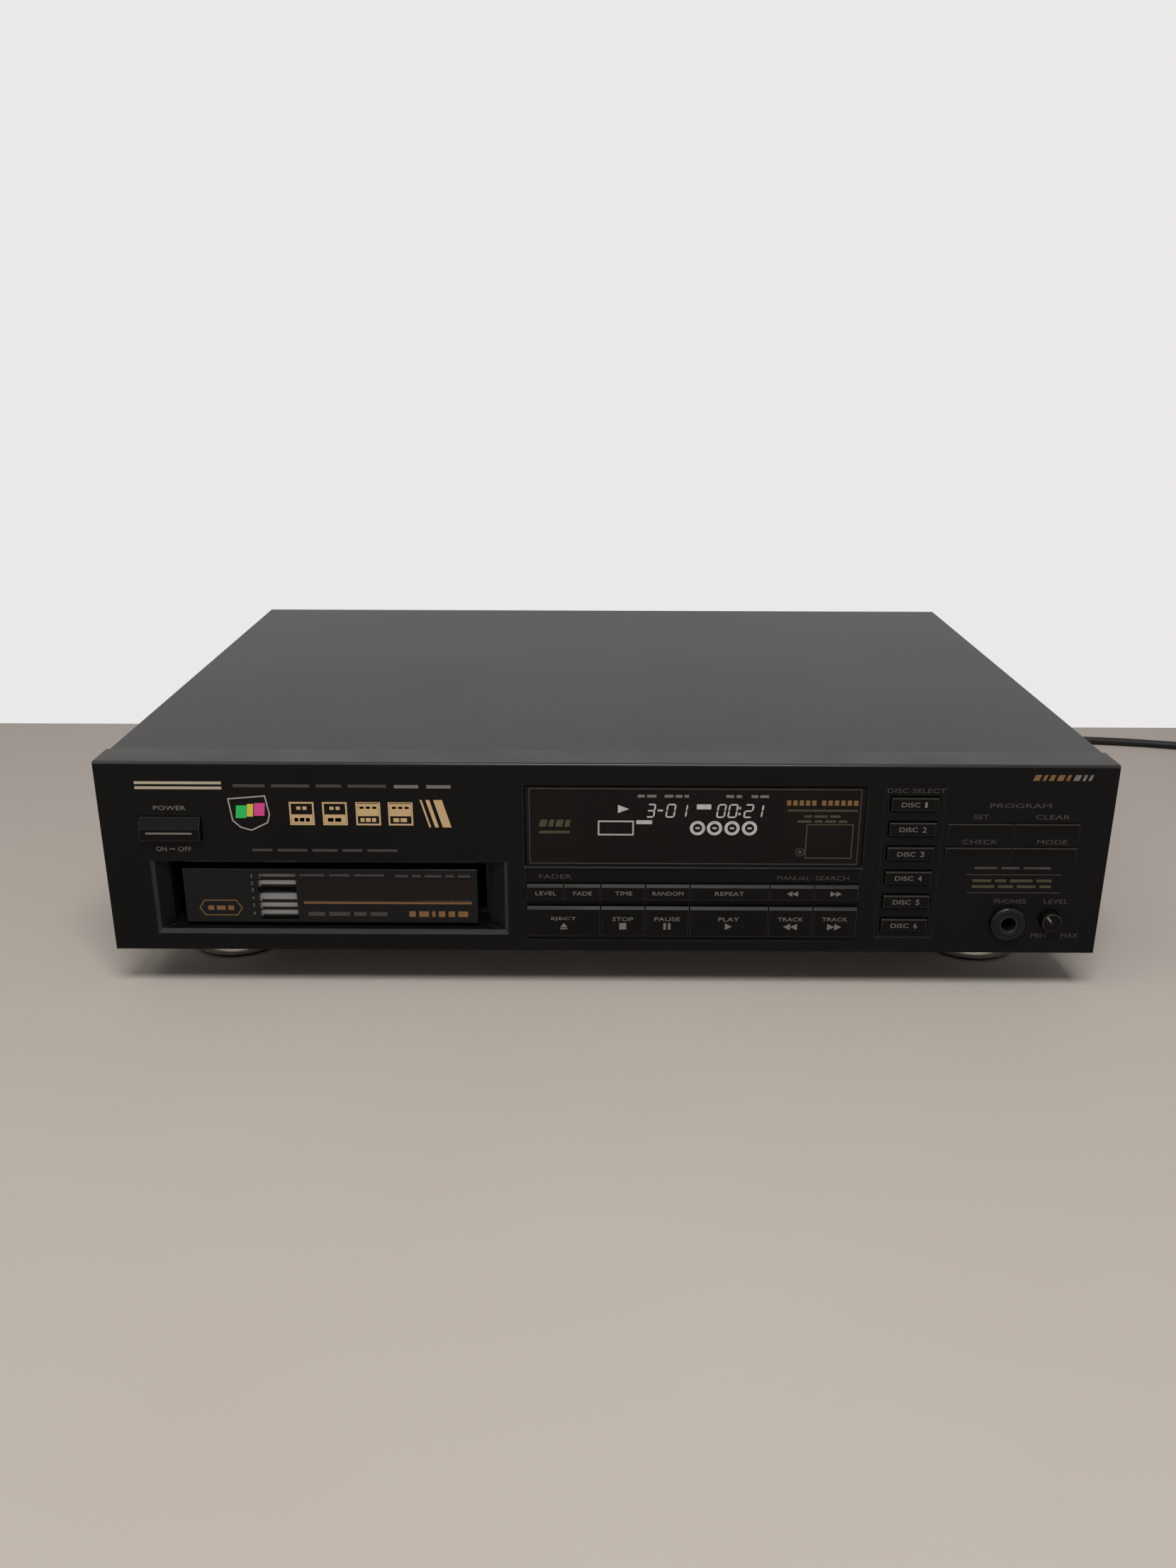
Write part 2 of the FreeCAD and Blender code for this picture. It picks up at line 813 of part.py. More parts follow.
def list_keys():
    """Every push key on the front."""
    upper = ["key_fade_level", "key_fade_time", "key_time", "key_random", "key_repeat",
             "key_search_back", "key_search_forward"]
    lower = ["key_eject", "key_stop", "key_pause", "key_play", "key_skip_back", "key_skip_forward"]
    plain = s.key_wide
    keys = key_row(upper, [s.key_half, s.key_half, plain, plain, s.key_long, plain, plain],
                   upper_key_under, s.upper_key_high)
    keys += key_row(lower, [s.key_half * 2, plain, plain, s.key_long, plain, plain],
                    lower_key_under, s.lower_key_high)
    for number in range(TRAY_COUNT):
        keys.append(Key(f"key_disc_{number + 1}", disc_key_x, disc_key_top - disc_key_pitch * number,
                        s.disc_key_wide, s.disc_key_high, s.disc_key_clear, s.disc_key_proud,
                        s.key_edge, s.key_edge))
    programme = [("key_program_set", -1, 0), ("key_program_clear", 1, 0),
                 ("key_program_check", -1, 1), ("key_program_mode", 1, 1)]
    for name, side, row in programme:
        keys.append(Key(name, programme_x + (s.programme_wide + s.key_gap) / 2 * side,
                        programme_top - s.programme_pitch * row, s.programme_wide, s.programme_high,
                        s.programme_clear, s.programme_proud, s.key_edge, s.key_edge))
    keys.append(Key("power_key", power_x, power_z, s.power_wide, s.power_high,
                    s.power_clear, s.power_proud, s.power_proud, s.power_slope))
    return keys


KEYS = list_keys()


# ---------------------------------------------------------------- housing

def make_front_panel():
    """Moulded front: a shallow tray open to the rear, with all its openings."""
    shell = box("panel_block", (-panel_half, panel_half), (front, panel_back),
                (s.panel_under, s.overall_high))

    def bright_edge(edge):
        on_front = spans(edge, "y", front, front)
        return on_front and spans(edge, "z", s.overall_high, s.overall_high)

    shell = rounded("panel_rounded", shell, s.panel_round, bright_edge)
    wall = s.panel_wall
    hollow = box("panel_hollow", (wall - panel_half, panel_half - wall), (panel_inside, panel_back),
                 (s.panel_under + wall, s.overall_high - wall))
    collar = box("mouth_collar_block", (mouth_left, mouth_right), (panel_inside, mouth_back),
                 (mouth_under, mouth_top + s.mouth_collar))
    bosses = [rod(f"panel_boss_{number}", "y", place, s.boss_radius, (panel_inside, board_front))
              for number, place in enumerate(board_boss_places())]
    solid = fuse("panel_solid", cut("panel_shell", shell, hollow), collar, *bosses)
    return subpart("front_panel", cut("front_panel", solid, *panel_openings()))


def board_boss_places():
    """Where the bosses of the key boards stand, as (x, z)."""
    low, high = board_under + s.board_boss_lift, board_top - s.board_boss_drop
    between = window_right + s.board_boss_beside
    left = board_left + s.boss_radius
    right = board_right - s.board_boss_drop
    return [
        (left, low), (left, high), (between, low), (between, high), (right, high),
        (right, phones_z + s.board_boss_over_phones),
        (power_x - s.power_boss_spread, power_z), (power_x + s.power_boss_spread, power_z),
    ]


def panel_openings():
    """The solids that the openings of the front panel take away."""
    through = (front - 1, panel_inside + 1)
    edge = (mouth_left + s.mouth_edge, mouth_right - s.mouth_edge)
    step = front + s.mouth_edge_deep
    tools = [
        funnel("mouth_bevel", (mouth_left, mouth_right), (mouth_under, mouth_top),
               edge, mouth_inner_up, (front, step)),
        funnel("mouth_slope", edge, mouth_inner_up, mouth_inner, mouth_inner_up,
               (step, step + s.mouth_slope_deep)),
        box("mouth_hole", mouth_inner, (front - 1, mouth_back + 1), mouth_inner_up),
    ]
    gap = s.window_gap
    across = (window_left - gap, window_right + gap)
    up = (window_under - gap, window_top + gap)
    bevel = s.window_bevel
    tools.append(box("window_hole", across, through, up))
    tools.append(funnel("window_bevel_cut", (across[0] - bevel, across[1] + bevel),
                        (up[0] - bevel, up[1] + bevel), across, up, (front, front + bevel)))
    tools.append(box("key_bay", across, (front - 1, front + s.key_bay_sunk),
                     (key_bay_under, key_bay_under + s.key_bay_high)))
    channel = s.disc_channel_wide / 2
    tools.append(box("disc_channel", (disc_key_x - channel, disc_key_x + channel),
                     (front - 1, front + s.disc_channel_sunk),
                     channel_up))
    for name, under, high in (("upper_keys_hole", upper_key_under, s.upper_key_high),
                              ("lower_keys_hole", lower_key_under, s.lower_key_high)):
        tools.append(box(name, (window_left, window_right), through,
                         (under - s.key_clear, under + high + s.key_clear)))
    for key in KEYS:
        if key.clear is s.key_clear:
            continue
        half_wide, half_high = key.wide / 2 + key.clear, key.high / 2 + key.clear
        tools.append(box(key.name + "_hole", (key.x - half_wide, key.x + half_wide), through,
                         (key.z - half_high, key.z + half_high)))
    tools.append(rod("phones_hole", "y", (phones_x, phones_z), s.phones_bush + gap, through))
    tools.append(rod("level_hole_cut", "y", (level_x, level_z), s.level_hole, through))
    return tools


def make_top_cover():
    """Folded sheet cover: top and two sides, with a short lip down the rear."""
    body = new_body("cover_body")
    profile = sketch_on(body, "cover_profile", "XZ_Plane", -panel_back)
    top, wall = s.overall_high, s.cover_wall
    outline(profile, [
        (-cover_half, base_under), (-cover_half, top), (cover_half, top), (cover_half, base_under),
        (cover_inside, base_under), (cover_inside, top - wall),
        (-cover_inside, top - wall), (-cover_inside, base_under),
    ])
    pad(body, profile, rear - panel_back, backwards=True)
    lip = sketch_on(body, "cover_lip_profile", "XZ_Plane", -rear_outside)
    outline(lip, [
        (-cover_inside, top - wall), (cover_inside, top - wall),
        (cover_inside, top - s.cover_lip), (-cover_inside, top - s.cover_lip),
    ])
    pad(body, lip, wall, backwards=True)
    side_holes = sketch_on(body, "cover_side_holes", "YZ_Plane", -cover_half - 1)
    for y in side_screw_ys:
        circle(side_holes, y, side_screw_z, s.screw_hole)
    pocket(body, side_holes, cover_half * 2 + 2, backwards=True)
    lip_holes = sketch_on(body, "cover_lip_holes", "XZ_Plane", -rear_outside + 1)
    for x in rear_screw_xs:
        circle(lip_holes, x, rear_screw_z, s.screw_hole)
    pocket(body, lip_holes, wall + 2)
    return subpart("top_cover", body)


def make_base_chassis():
    """Sheet steel floor with low side flanges and bosses for the main board."""
    floor = box("base_floor", (-base_half, base_half), (panel_back, rear_inside),
                (base_under, base_top))
    flange_up = (base_under, base_under + s.base_flange)
    flanges = [box(f"base_flange_{side}", sorted_span(base_half * side, (base_half - s.base_wall) * side),
                   (panel_back, rear_inside), flange_up) for side in (-1, 1)]
    bosses = [rod(f"main_boss_{number}", "z", place, s.boss_radius, (base_top, base_top + s.main_lift))
              for number, place in enumerate(main_boss_places())]
    solid = fuse("base_solid", floor, *flanges, *bosses)
    holes = [rod(f"base_screw_hole_{number}", "x", (y, side_screw_z), s.screw_hole,
                 (-base_half - 1, base_half + 1)) for number, y in enumerate(side_screw_ys)]
    return subpart("base_chassis", cut("base_chassis", solid, *holes))


def sorted_span(first, second):
    """Two limits with the lower one first."""
    return (first, second) if first.value < second.value else (second, first)


def main_boss_places():
    """Where the main board stands on the base, as (x, y)."""
    inset = s.main_boss_inset
    return [(x, y) for x in (main_left + inset, main_right - inset)
            for y in (main_front_y + inset, main_rear_y - inset)]


def make_rear_panel():
    """Flat rear plate with holes for the sockets, the lead's bush and the screws."""
    plate = box("rear_plate", (-base_half, base_half), (rear_inside, rear_outside),
                (base_under, s.overall_high - s.cover_wall - s.sheet_gap))
    through = (rear_inside - 1, rear_outside + 1)
    tools = [rod("bush_hole", "y", (bush_x, bush_z), s.bush_body + s.bush_body_gap, through)]
    for side in (-1, 1):
        tools.append(rod(f"jack_hole_{side}", "y", (jack_x + s.jack_pitch / 2 * side, jack_z),
                         s.jack_radius + s.jack_neck + s.jack_hole_gap, through))
    for number, x in enumerate(rear_screw_xs):
        tools.append(rod(f"rear_screw_hole_{number}", "y", (x, rear_screw_z), s.screw_hole, through))
    return subpart("rear_panel", cut("rear_panel", plate, *tools))


def make_feet():
    """Four round feet: a tapered sole, a bright ring and a waist up to the base."""
    feet = []
    foot_x = panel_half - s.foot_side_inset
    centres = [(foot_x * side, y) for side in (-1, 1)
               for y in (front + s.foot_front_inset, rear - s.foot_rear_inset)]
    for number, centre in enumerate(centres):
        sole = cone(f"foot_sole_{number}", "z", centre, (s.foot_radius - s.foot_sole, s.foot_radius),
                    (0, s.foot_sole))
        ring = rod(f"foot_ring_{number}", "z", centre, s.foot_radius,
                   (s.foot_sole, s.foot_sole + s.foot_ring))
        waist = rod(f"foot_waist_{number}", "z", centre, s.foot_waist, (s.foot_sole, base_under))
        feet.append(fuse(f"foot_{number}", sole, ring, waist))
    return subpart("feet", group("feet", *feet))


def make_housing_screws():
    """Seven cross-head screws: two in each side of the cover, three in its lip."""
    screws = []
    places = [("x", side, (y, side_screw_z), cover_half) for side in (-1, 1) for y in side_screw_ys]
    places += [("y", 1, (x, rear_screw_z), rear) for x in rear_screw_xs]
    for number, (axis, side, centre, face) in enumerate(places):
        outer = (face + s.screw_head_high) * side
        inner = (face - s.screw_long) * side
        head = rod(f"screw_head_{number}", axis, centre, s.screw_head, sorted_span(face * side, outer))
        shank = rod(f"screw_shank_{number}", axis, centre, s.screw_radius, sorted_span(inner, outer))
        bottom = (face + s.screw_head_high / 2) * side
        depth = sorted_span(bottom, outer + side)
        slots = [cross_arm(f"screw_slot_{number}_{arm}", axis, centre, depth, arm) for arm in (0, 1)]
        screws.append(cut(f"screw_{number}", fuse(f"screw_blank_{number}", head, shank), *slots))
    return subpart("housing_screws", group("housing_screws", *screws))


def cross_arm(name, axis, centre, depth, arm):
    """One arm of a screw's cross slot."""
    long, thin = s.screw_slot_reach, s.screw_slot / 2
    reach = (long, thin) if arm else (thin, long)
    first = (centre[0] - reach[0], centre[0] + reach[0])
    second = (centre[1] - reach[1], centre[1] + reach[1])
    return box(name, depth, first, second) if axis == "x" else box(name, first, depth, second)


# ---------------------------------------------------------------- front controls

def make_display_window():
    """Tinted window plate, held from behind by its flange."""
    plate = box("window_plate", (window_left, window_right), (front + s.window_sunk, panel_inside),
                (window_under, window_top))
    reach = s.window_flange
    flange = box("window_flange_plate", (window_left - reach, window_right + reach),
                 (panel_inside, panel_inside + s.window_flange_thick),
                 (window_under - reach, window_top + reach))
    return subpart("display_window", fuse("display_window", plate, flange))


def make_display_tube():
    """Flat fluorescent tube behind the window, on two rows of leads to the board."""
    tube_front = panel_inside + s.window_flange_thick + s.sheet_gap
    tube_back = tube_front + s.tube_thick
    across = (window_left + s.tube_margin_left, window_right - s.tube_margin_right)
    low, high = window_under + s.tube_lift, window_top - s.tube_drop
    glass = box("tube_glass", across, (tube_front, tube_back), (low, high))
    rows = [low + s.tube_lead, high - s.tube_lead * 2]
    leads = [box(f"tube_leads_{number}", across, (tube_back, board_front), (row, row + s.tube_lead))
             for number, row in enumerate(rows)]
    return subpart("display_tube", fuse("display_tube", glass, *leads))


def make_control_board():
    """Key board with a push switch behind each key, and the small power switch board."""
    board = box("key_board", (board_left, board_right), (board_front, board_rear),
                (board_under, board_top))
    notch = box("key_board_notch", (phones_x - s.phones_body_wide, board_right + 1),
                (board_front - 1, board_rear + 1), (board_under - 1, phones_z + s.board_notch_over_phones))
    half_wide, half_high = s.power_board_wide / 2, s.power_board_high / 2
    power_board = box("power_board", (power_x - half_wide, power_x + half_wide),
                      (board_front, board_rear), (power_z - half_high, power_z + half_high))
    switches = []
    half = s.switch_side / 2
    for key in KEYS:
        can = box(key.name + "_switch_can", (key.x - half, key.x + half), (switch_front, board_front),
                  (key.z - half, key.z + half))
        plunger = rod(key.name + "_plunger", "y", (key.x, key.z), s.plunger_radius,
                      (plunger_front, switch_front))
        switches.append(fuse(key.name + "_switch", can, plunger))
    return subpart("control_board",
                   group("control_board", cut("key_board_cut", board, notch), power_board, *switches))


def make_keys():
    """Push keys: a cap with its retaining flange, and a stem that reaches the switch."""
    for key in KEYS:
        body = new_body(key.name + "_body")
        flange_front = s.panel_wall + s.key_switch_gap
        flange_back = flange_front + s.key_flange_thick
        half, reach = key.high / 2, key.high / 2 + key.clear + s.key_flange
        nose = -key.proud
        profile = sketch_on(body, key.name + "_profile", "YZ_Plane", -(key.wide / 2))
        outline(profile, [
            (nose, s.key_edge - half), (nose + s.key_edge, -half), (flange_front, -half),
            (flange_front, -reach), (flange_back, -reach), (flange_back, reach),
            (flange_front, reach), (flange_front, half), (nose + key.slope_deep, half),
            (nose, half - key.slope_high),
        ])
        pad(body, profile, key.wide)
        stem = sketch_on(body, key.name + "_stem", "XZ_Plane", -flange_back)
        circle(stem, 0, 0, s.key_stem)
        pad(body, stem, stem_back - front - flange_back, backwards=True)
        subpart(key.name, body, key.x, front, key.z)


def make_phones_board():
    """Small board with the headphone socket and the level control."""
    across = (phones_x - s.phones_body_wide / 2, phones_x + s.phones_body_wide / 2)
    under = phones_z - s.phones_body_high / 2
    body_back = panel_inside + s.phones_body_deep
    socket = fuse(
        "phones_socket",
        box("phones_body", across, (panel_inside, body_back), (under, under + s.phones_body_high)),
        rod("phones_bush_rod", "y", (phones_x, phones_z), s.phones_bush, (front, panel_inside)),
        rod("phones_collar_rod", "y", (phones_x, phones_z), s.phones_collar,
            (front - s.phones_proud, front)))
    bore = rod("phones_bore_cut", "y", (phones_x, phones_z), s.phones_bore,
               (front - s.phones_proud - 1, front - s.phones_proud + s.phones_bore_deep))
    plate_left = across[0] - s.phones_board_margin
    board = box("phones_board_plate", (plate_left, plate_left + s.phones_board_wide),
                (panel_inside + s.level_gap, body_back), (under - s.board_thick, under))
    pot_front = panel_inside + s.level_sunk + s.level_gap
    half = s.level_body / 2
    pot = fuse(
        "level_pot",
        box("level_pot_body", (level_x - half, level_x + half),
            (pot_front, pot_front + s.level_body_deep), (under, level_z + half)),
        rod("level_pot_shaft", "y", (level_x, level_z), s.level_shaft,
            (pot_front - s.level_shaft_long, pot_front)))
    return subpart("phones_board", group("phones_board", cut("phones_socket_bored", socket, bore),
                                         board, pot))


def make_level_knob():
    """Small round knob with a pointer groove across half of its face."""
    nose, tail = -s.level_proud, s.panel_wall + s.level_sunk
    edge = s.key_edge
    bore = s.level_shaft + s.level_shaft_gap
    bore_end = tail + s.level_gap - s.level_shaft_long - s.key_edge
    body = revolve("knob_body", "XY_Plane", [
        (0, nose), (s.level_radius - edge, nose), (s.level_radius, nose + edge),
        (s.level_radius, tail), (bore, tail), (bore, bore_end), (0, bore_end),
    ])
    half = s.level_pointer / 2
    groove = box("knob_groove", (-half, half), (nose - 1, nose + half), (0, s.level_radius + 1))
    turned = fuse("knob_groove_tool", groove, box("knob_groove_end", (-half, half), (nose - 1, nose + half),
                                                  (-half, half)))
    turned.Placement = FreeCAD.Placement(
        FreeCAD.Vector(), FreeCAD.Rotation(FreeCAD.Vector(0, 1, 0), -s.level_pointer_turn.value))
    return subpart("level_knob", cut("level_knob", body, turned), level_x, front, level_z)


# ---------------------------------------------------------------- magazine

def make_magazine_case():
    """Magazine shell, open at the rear and at the right, with a window for the tray tabs.

    Its own origin is the middle of its front's lower edge.
    """
    half, deep, high = magazine_wide / 2, magazine_deep, magazine_high
    side = s.magazine_side
    shell = fuse(
        "magazine_shell",
        box("magazine_floor_plate", (-half, half), (0, deep), (0, s.magazine_floor)),
        box("magazine_roof_plate", (-half, half), (0, deep), (high - s.magazine_roof, high)),
        box("magazine_front_wall", (-half, half), (0, s.magazine_face), (0, high)),
        box("magazine_left_wall", (-half, side - half), (0, deep), (0, high)),
        box("magazine_right_wall_plate", (half - side, half), (0, s.magazine_right_wall), (0, high)))

    def bright_edge(edge):
        return spans(edge, "y", as_size(0), as_size(0)) and edge.Length > high.value - 1

    shell = rounded("magazine_rounded", shell, s.magazine_round, bright_edge)
    gap = s.tab_window_gap
    tabs_left = tab_left - magazine_x
    tabs_under = low_tray
    tabs_high = s.tray_pitch * (TRAY_COUNT - 1) + s.tab_high
    window = box("tab_window", (tabs_left - gap, tabs_left + s.tab_wide + gap), (-1, s.magazine_face + 1),
                 (tabs_under - gap, tabs_under + tabs_high + gap))
    label_top = high - s.magazine_label_drop
    label = box("magazine_label_cut",
                (tabs_left + s.tab_wide + s.magazine_label_gap, half - s.magazine_label_side),
                (-1, s.magazine_label_sunk), (label_top - s.magazine_label_high, label_top))
    pin_hole = rod("magazine_pin_hole", "z", (pin_x - magazine_x, pin_y - magazine_front),
                   s.tray_pin_radius + s.tray_pin_seat_gap, (-1, high + 1))
    return subpart("magazine_case", cut("magazine_case", shell, window, label, pin_hole),
                   magazine_x, magazine_front, magazine_under)


def make_tray_pin():
    """Steel pin that the trays swing on, flush with the magazine's roof and floor."""
    pin = rod("tray_pin", "z", (0, 0), s.tray_pin_radius, (0, magazine_high))
    return subpart("tray_pin", pin, pin_x, pin_y, magazine_under)


def make_tray(number):
    """One disc tray, drawn stowed about its pin; the played one stands turned out."""
    offset, well, rim = pin_offset, tray_well, s.tray_rim
    right = magazine_right - s.magazine_side - s.tray_side_gap - pin_x
    low = tray_front - pin_y
    back = well + rim - offset
    start = s.tray_rim_start
    name = f"tray_{number}"
    up = (as_size(0), s.tray_thick)
    plate = fuse(
        name + "_plate",
        box(name + "_main", (-s.tray_eye, right), (low, as_size(0)), up),
        box(name + "_rear_rim", (start, right), (as_size(0), back), up),
        box(name + "_neck", (as_size(0), start), (as_size(0), s.tray_eye), up))
    reach = rod(name + "_reach", "z", (0, 0), tray_reach, up)
    eye = rod(name + "_eye", "z", (0, 0), s.tray_eye, (0, s.tray_eye_high))
    left = tab_left - pin_x
    tab = box(name + "_tab", (left, left + s.tab_wide), (low, low + s.tab_deep),
              (as_size(0), s.tab_high))
    solid = fuse(name + "_solid", common(name + "_clipped", plate, reach), eye, tab)
    slot, notch = s.tray_slot_half, s.tray_notch_half
    tools = [
        rod(name + "_well", "z", (offset, -offset), well, (s.tray_floor, s.tray_eye_high + 1)),
        rod(name + "_hub_hole", "z", (offset, -offset), s.tray_hub_hole, (-1, s.tray_eye_high + 1)),
        box(name + "_slot", (offset, right + 1), (-offset - slot, slot - offset),
            (as_size(-1), s.tray_eye_high + 1)),
        box(name + "_notch", (-s.tray_eye - 1, notch), (-offset - notch, notch - offset),
            (as_size(-1), s.tray_eye_high + 1)),
        rod(name + "_pin_hole", "z", (0, 0), s.tray_pin_radius + s.tray_pin_gap,
            (-1, s.tray_eye_high + 1)),
    ]
    angle = 90 if number == PLAYED_TRAY else 0
    turn = FreeCAD.Rotation(FreeCAD.Vector(0, 0, 1), angle)
    return subpart(name, cut(name, solid, *tools), pin_x, pin_y, tray_under(number), turn)


def make_compact_disc():
    """The disc that lies in the tray which stands out."""
    body = new_body("disc_body")
    face = sketch_on(body, "disc_face", "XY_Plane")
    circle(face, 0, 0, s.disc_radius)
    circle(face, 0, 0, s.disc_hole)
    pad(body, face, s.disc_thick)
    return subpart("compact_disc", body, play_x, play_y, disc_under)


def make_magazine_bay():
    """Sheet steel bay that guides the magazine: floor, walls and a bridge at the front."""
    bay_front = mouth_back + s.bay_front_gap
    bay_rear = magazine_rear + s.bay_rear_gap
    tunnel = bay_front + s.bay_tunnel
    left = magazine_left - s.bay_gap
    right = magazine_right + s.bay_gap_right
    wall = s.bay_wall
    floor_top = magazine_under - s.bay_floor_gap
    top = mouth_inner_up[1] + s.bay_roof_gap
    return subpart("magazine_bay", fuse(
        "magazine_bay",
        box("bay_floor", (left - wall, right + wall), (bay_front, bay_rear), (floor_top - wall, floor_top)),
        box("bay_left", (left - wall, left), (bay_front, bay_rear), (base_top, top)),
        box("bay_right", (right, right + wall), (bay_front, tunnel), (base_top, top)),
        box("bay_right_low", (right, right + wall), (bay_front, bay_rear), (base_top, floor_top)),
        box("bay_bridge", (left - wall, right + wall), (bay_front, tunnel), (top - wall, top))))


# ---------------------------------------------------------------- disc drive

def post_places():
    """The four guide posts, as (x, y)."""
    return [(x, y) for x in (post_left_x, post_right_x) for y in (post_front_y, post_rear_y)]


def plate_span():
    """How far the sliding plates reach round the posts, across and along."""
    margin = s.deck_margin
    return ((post_left_x - margin, post_right_x + margin),
            (post_front_y - margin, post_rear_y + margin))


def make_lift_frame():
    """Four guide posts on the base, tied at their tops by two rails and a bridge."""
    across, along = plate_span()
    rail, sheet = s.frame_rail, s.frame_sheet
    up = (post_top - sheet, post_top)
    posts = [rod(f"post_{number}", "z", place, s.post_radius, (base_top, post_top))
             for number, place in enumerate(post_places())]
    rails = [
        box("frame_left", (across[0], across[0] + rail), along, up),
        box("frame_right", (across[1] - rail, across[1]), along, up),
        box("frame_rear", across, (along[1] - rail, along[1]), up),
    ]
    return subpart("lift_frame", fuse("lift_frame", *posts, *rails))


def make_lift_deck():
    """Upper sliding plate; it carries the spindle motor and the pickup's rods."""
    across, along = plate_span()
    up = (deck_under, deck_under + s.deck_sheet)
    through = (deck_under - 1, deck_under + s.deck_sleeve_high + 1)
    plate = box("deck_plate", across, along, up)
    sleeves = [rod(f"deck_sleeve_{number}", "z", place, s.post_radius + s.sleeve_wall,
                   (deck_under, deck_under + s.deck_sleeve_high))
               for number, place in enumerate(post_places())]
    rod_left = play_x + s.rod_start
    rod_right = rod_left + s.rod_long
    blocks = []
    for side in (-1, 1):
        y = play_y + s.rod_spread * side
        for end, start in (("left", rod_left - s.rod_block), ("right", rod_right)):
            blocks.append(box(f"rod_block_{end}_{side}", (start, start + s.rod_block),
                              (y - s.rod_block_half, y + s.rod_block_half),
                              (rod_z - s.rod_block_under, deck_under)))
    holes = [rod(f"deck_hole_{number}", "z", place, s.post_radius + s.post_gap, through)
             for number, place in enumerate(post_places())]
    half = s.pickup_deep / 2 + s.pickup_gap
    holes.append(box("pickup_window", (rod_left + s.pickup_gap, rod_right),
                     (play_y - half, play_y + half), through))
    holes.append(rod("pilot_hole", "z", (play_x, play_y), s.motor_pilot + s.seat_gap, through))
    lighten = (across[0] + s.opening_margin, play_x - s.motor_radius - s.opening_margin)
    for number, span in enumerate(((along[0] + s.opening_margin, play_y - s.opening_spread),
                                   (play_y + s.opening_spread, along[1] - s.opening_margin))):
        holes.append(box(f"deck_opening_{number}", lighten, span, through))
    return subpart("lift_deck", cut("lift_deck", fuse("deck_solid", plate, *sleeves, *blocks), *holes))


def make_spindle_motor():
    """Spindle motor on the deck, with its pilot in the deck's hole."""
    bore = s.spindle_radius + s.spindle_gap
    low, step, high = as_size(0), s.deck_sheet, s.deck_sheet + s.motor_high
    bore_end = step + s.motor_high / 2
    motor = revolve("motor_body", "XZ_Plane", [
        (bore, low), (s.motor_pilot, low), (s.motor_pilot, step), (s.motor_radius, step),
        (s.motor_radius, high - 1), (s.motor_radius - 1, high), (0, high), (0, bore_end),
        (bore, bore_end),
    ])
    return subpart("spindle_motor", motor, play_x, play_y, deck_under)


def make_turntable():
    """Small platter with a centring boss below and the spindle above."""
    thick = s.platter_thick
    spindle_top = deck_under + s.deck_sheet + s.motor_high / 2 - s.spindle_end_gap - platter_under
    platter = revolve("platter_body", "XZ_Plane", [
        (0, -s.platter_boss_high), (s.platter_boss_tip, -s.platter_boss_high), (s.platter_boss, 0),
        (s.platter_radius, 0), (s.platter_radius, thick), (s.spindle_hub, thick),
        (s.spindle_radius, thick * 2), (s.spindle_radius, spindle_top), (0, spindle_top),
    ])
    return subpart("turntable", platter, play_x, play_y, platter_under)


def make_pickup_rods():
    """Two polished rods between the deck's blocks."""
    start = play_x + s.rod_start
    rods = [rod(f"pickup_rod_{side}", "x", (play_y + s.rod_spread * side, rod_z), s.rod_radius,
                (start, start + s.rod_long)) for side in (-1, 1)]
    return subpart("pickup_rods", group("pickup_rods", *rods))


def make_pickup():
    """Laser pickup on its sled; the lens looks down at the disc.

    Its own origin is the middle of its underside.
    """
    half_wide, half_deep = s.pickup_wide / 2, s.pickup_deep / 2
    sled = box("sled", (-half_wide, half_wide), (-half_deep, half_deep), (as_size(0), s.pickup_high))
    lens = rod("lens", "z", (s.lens_inset - half_wide, 0), s.lens_radius, (-s.lens_proud, s.lens_proud))
    bores = [rod(f"sled_bore_{side}", "x", (s.rod_spread * side, rod_z - pickup_under),
                 s.rod_radius + s.seat_gap, (-half_wide - 1, half_wide + 1)) for side in (-1, 1)]
    solid = cut("pickup", fuse("sled_with_lens", sled, lens), *bores)
    return subpart("pickup", solid, play_x + s.pickup_start + half_wide, play_y, pickup_under)


def make_clamp_plate():
    """Lower sliding plate; it carries the clamp puck below the disc."""
    across, along = plate_span()
    under, sheet = clamp_plate_under, s.clamp_sheet
    through = (under - 1, under + s.clamp_sleeve_high + 1)
    plate = box("clamp_sheet_plate", across, along, (under, under + sheet))
    sleeves = [rod(f"clamp_sleeve_{number}", "z", place, s.post_radius + s.sleeve_wall,
                   (under, under + s.clamp_sleeve_high)) for number, place in enumerate(post_places())]
    holes = [rod(f"clamp_hole_{number}", "z", place, s.post_radius + s.post_gap, through)
             for number, place in enumerate(post_places())]
    holes.append(rod("puck_well", "z", (play_x, play_y), s.puck_stem + s.puck_gap, through))
    margin, spread = s.opening_margin, s.clamp_opening_spread
    for number, span in enumerate(((across[0] + margin, play_x - spread),
                                   (play_x + spread, across[1] - margin))):
        holes.append(box(f"clamp_opening_{number}", span, (along[0] + margin, along[1] - margin),
                         through))
    return subpart("clamp_plate", cut("clamp_plate", fuse("clamp_solid", plate, *sleeves), *holes))


def make_clamp_puck():
    """Clamp puck that turns with the disc; its keeper holds it in the plate."""
    top = s.puck_thick
    stem_low = -(s.clamp_sheet + s.puck_gap * 2)
    keeper_low = stem_low - s.puck_keeper_high
    puck = revolve("puck_body", "XZ_Plane", [
        (0, keeper_low), (s.puck_keeper, keeper_low), (s.puck_keeper, stem_low), (s.puck_stem, stem_low),
        (s.puck_stem, 0), (s.puck_radius, 0), (s.puck_radius, top), (s.puck_dish, top),
        (s.puck_dish, top - s.puck_dish_deep), (0, top - s.puck_dish_deep),
    ])
    return subpart("clamp_puck", puck, play_x, play_y, puck_under)


# ---------------------------------------------------------------- electronics

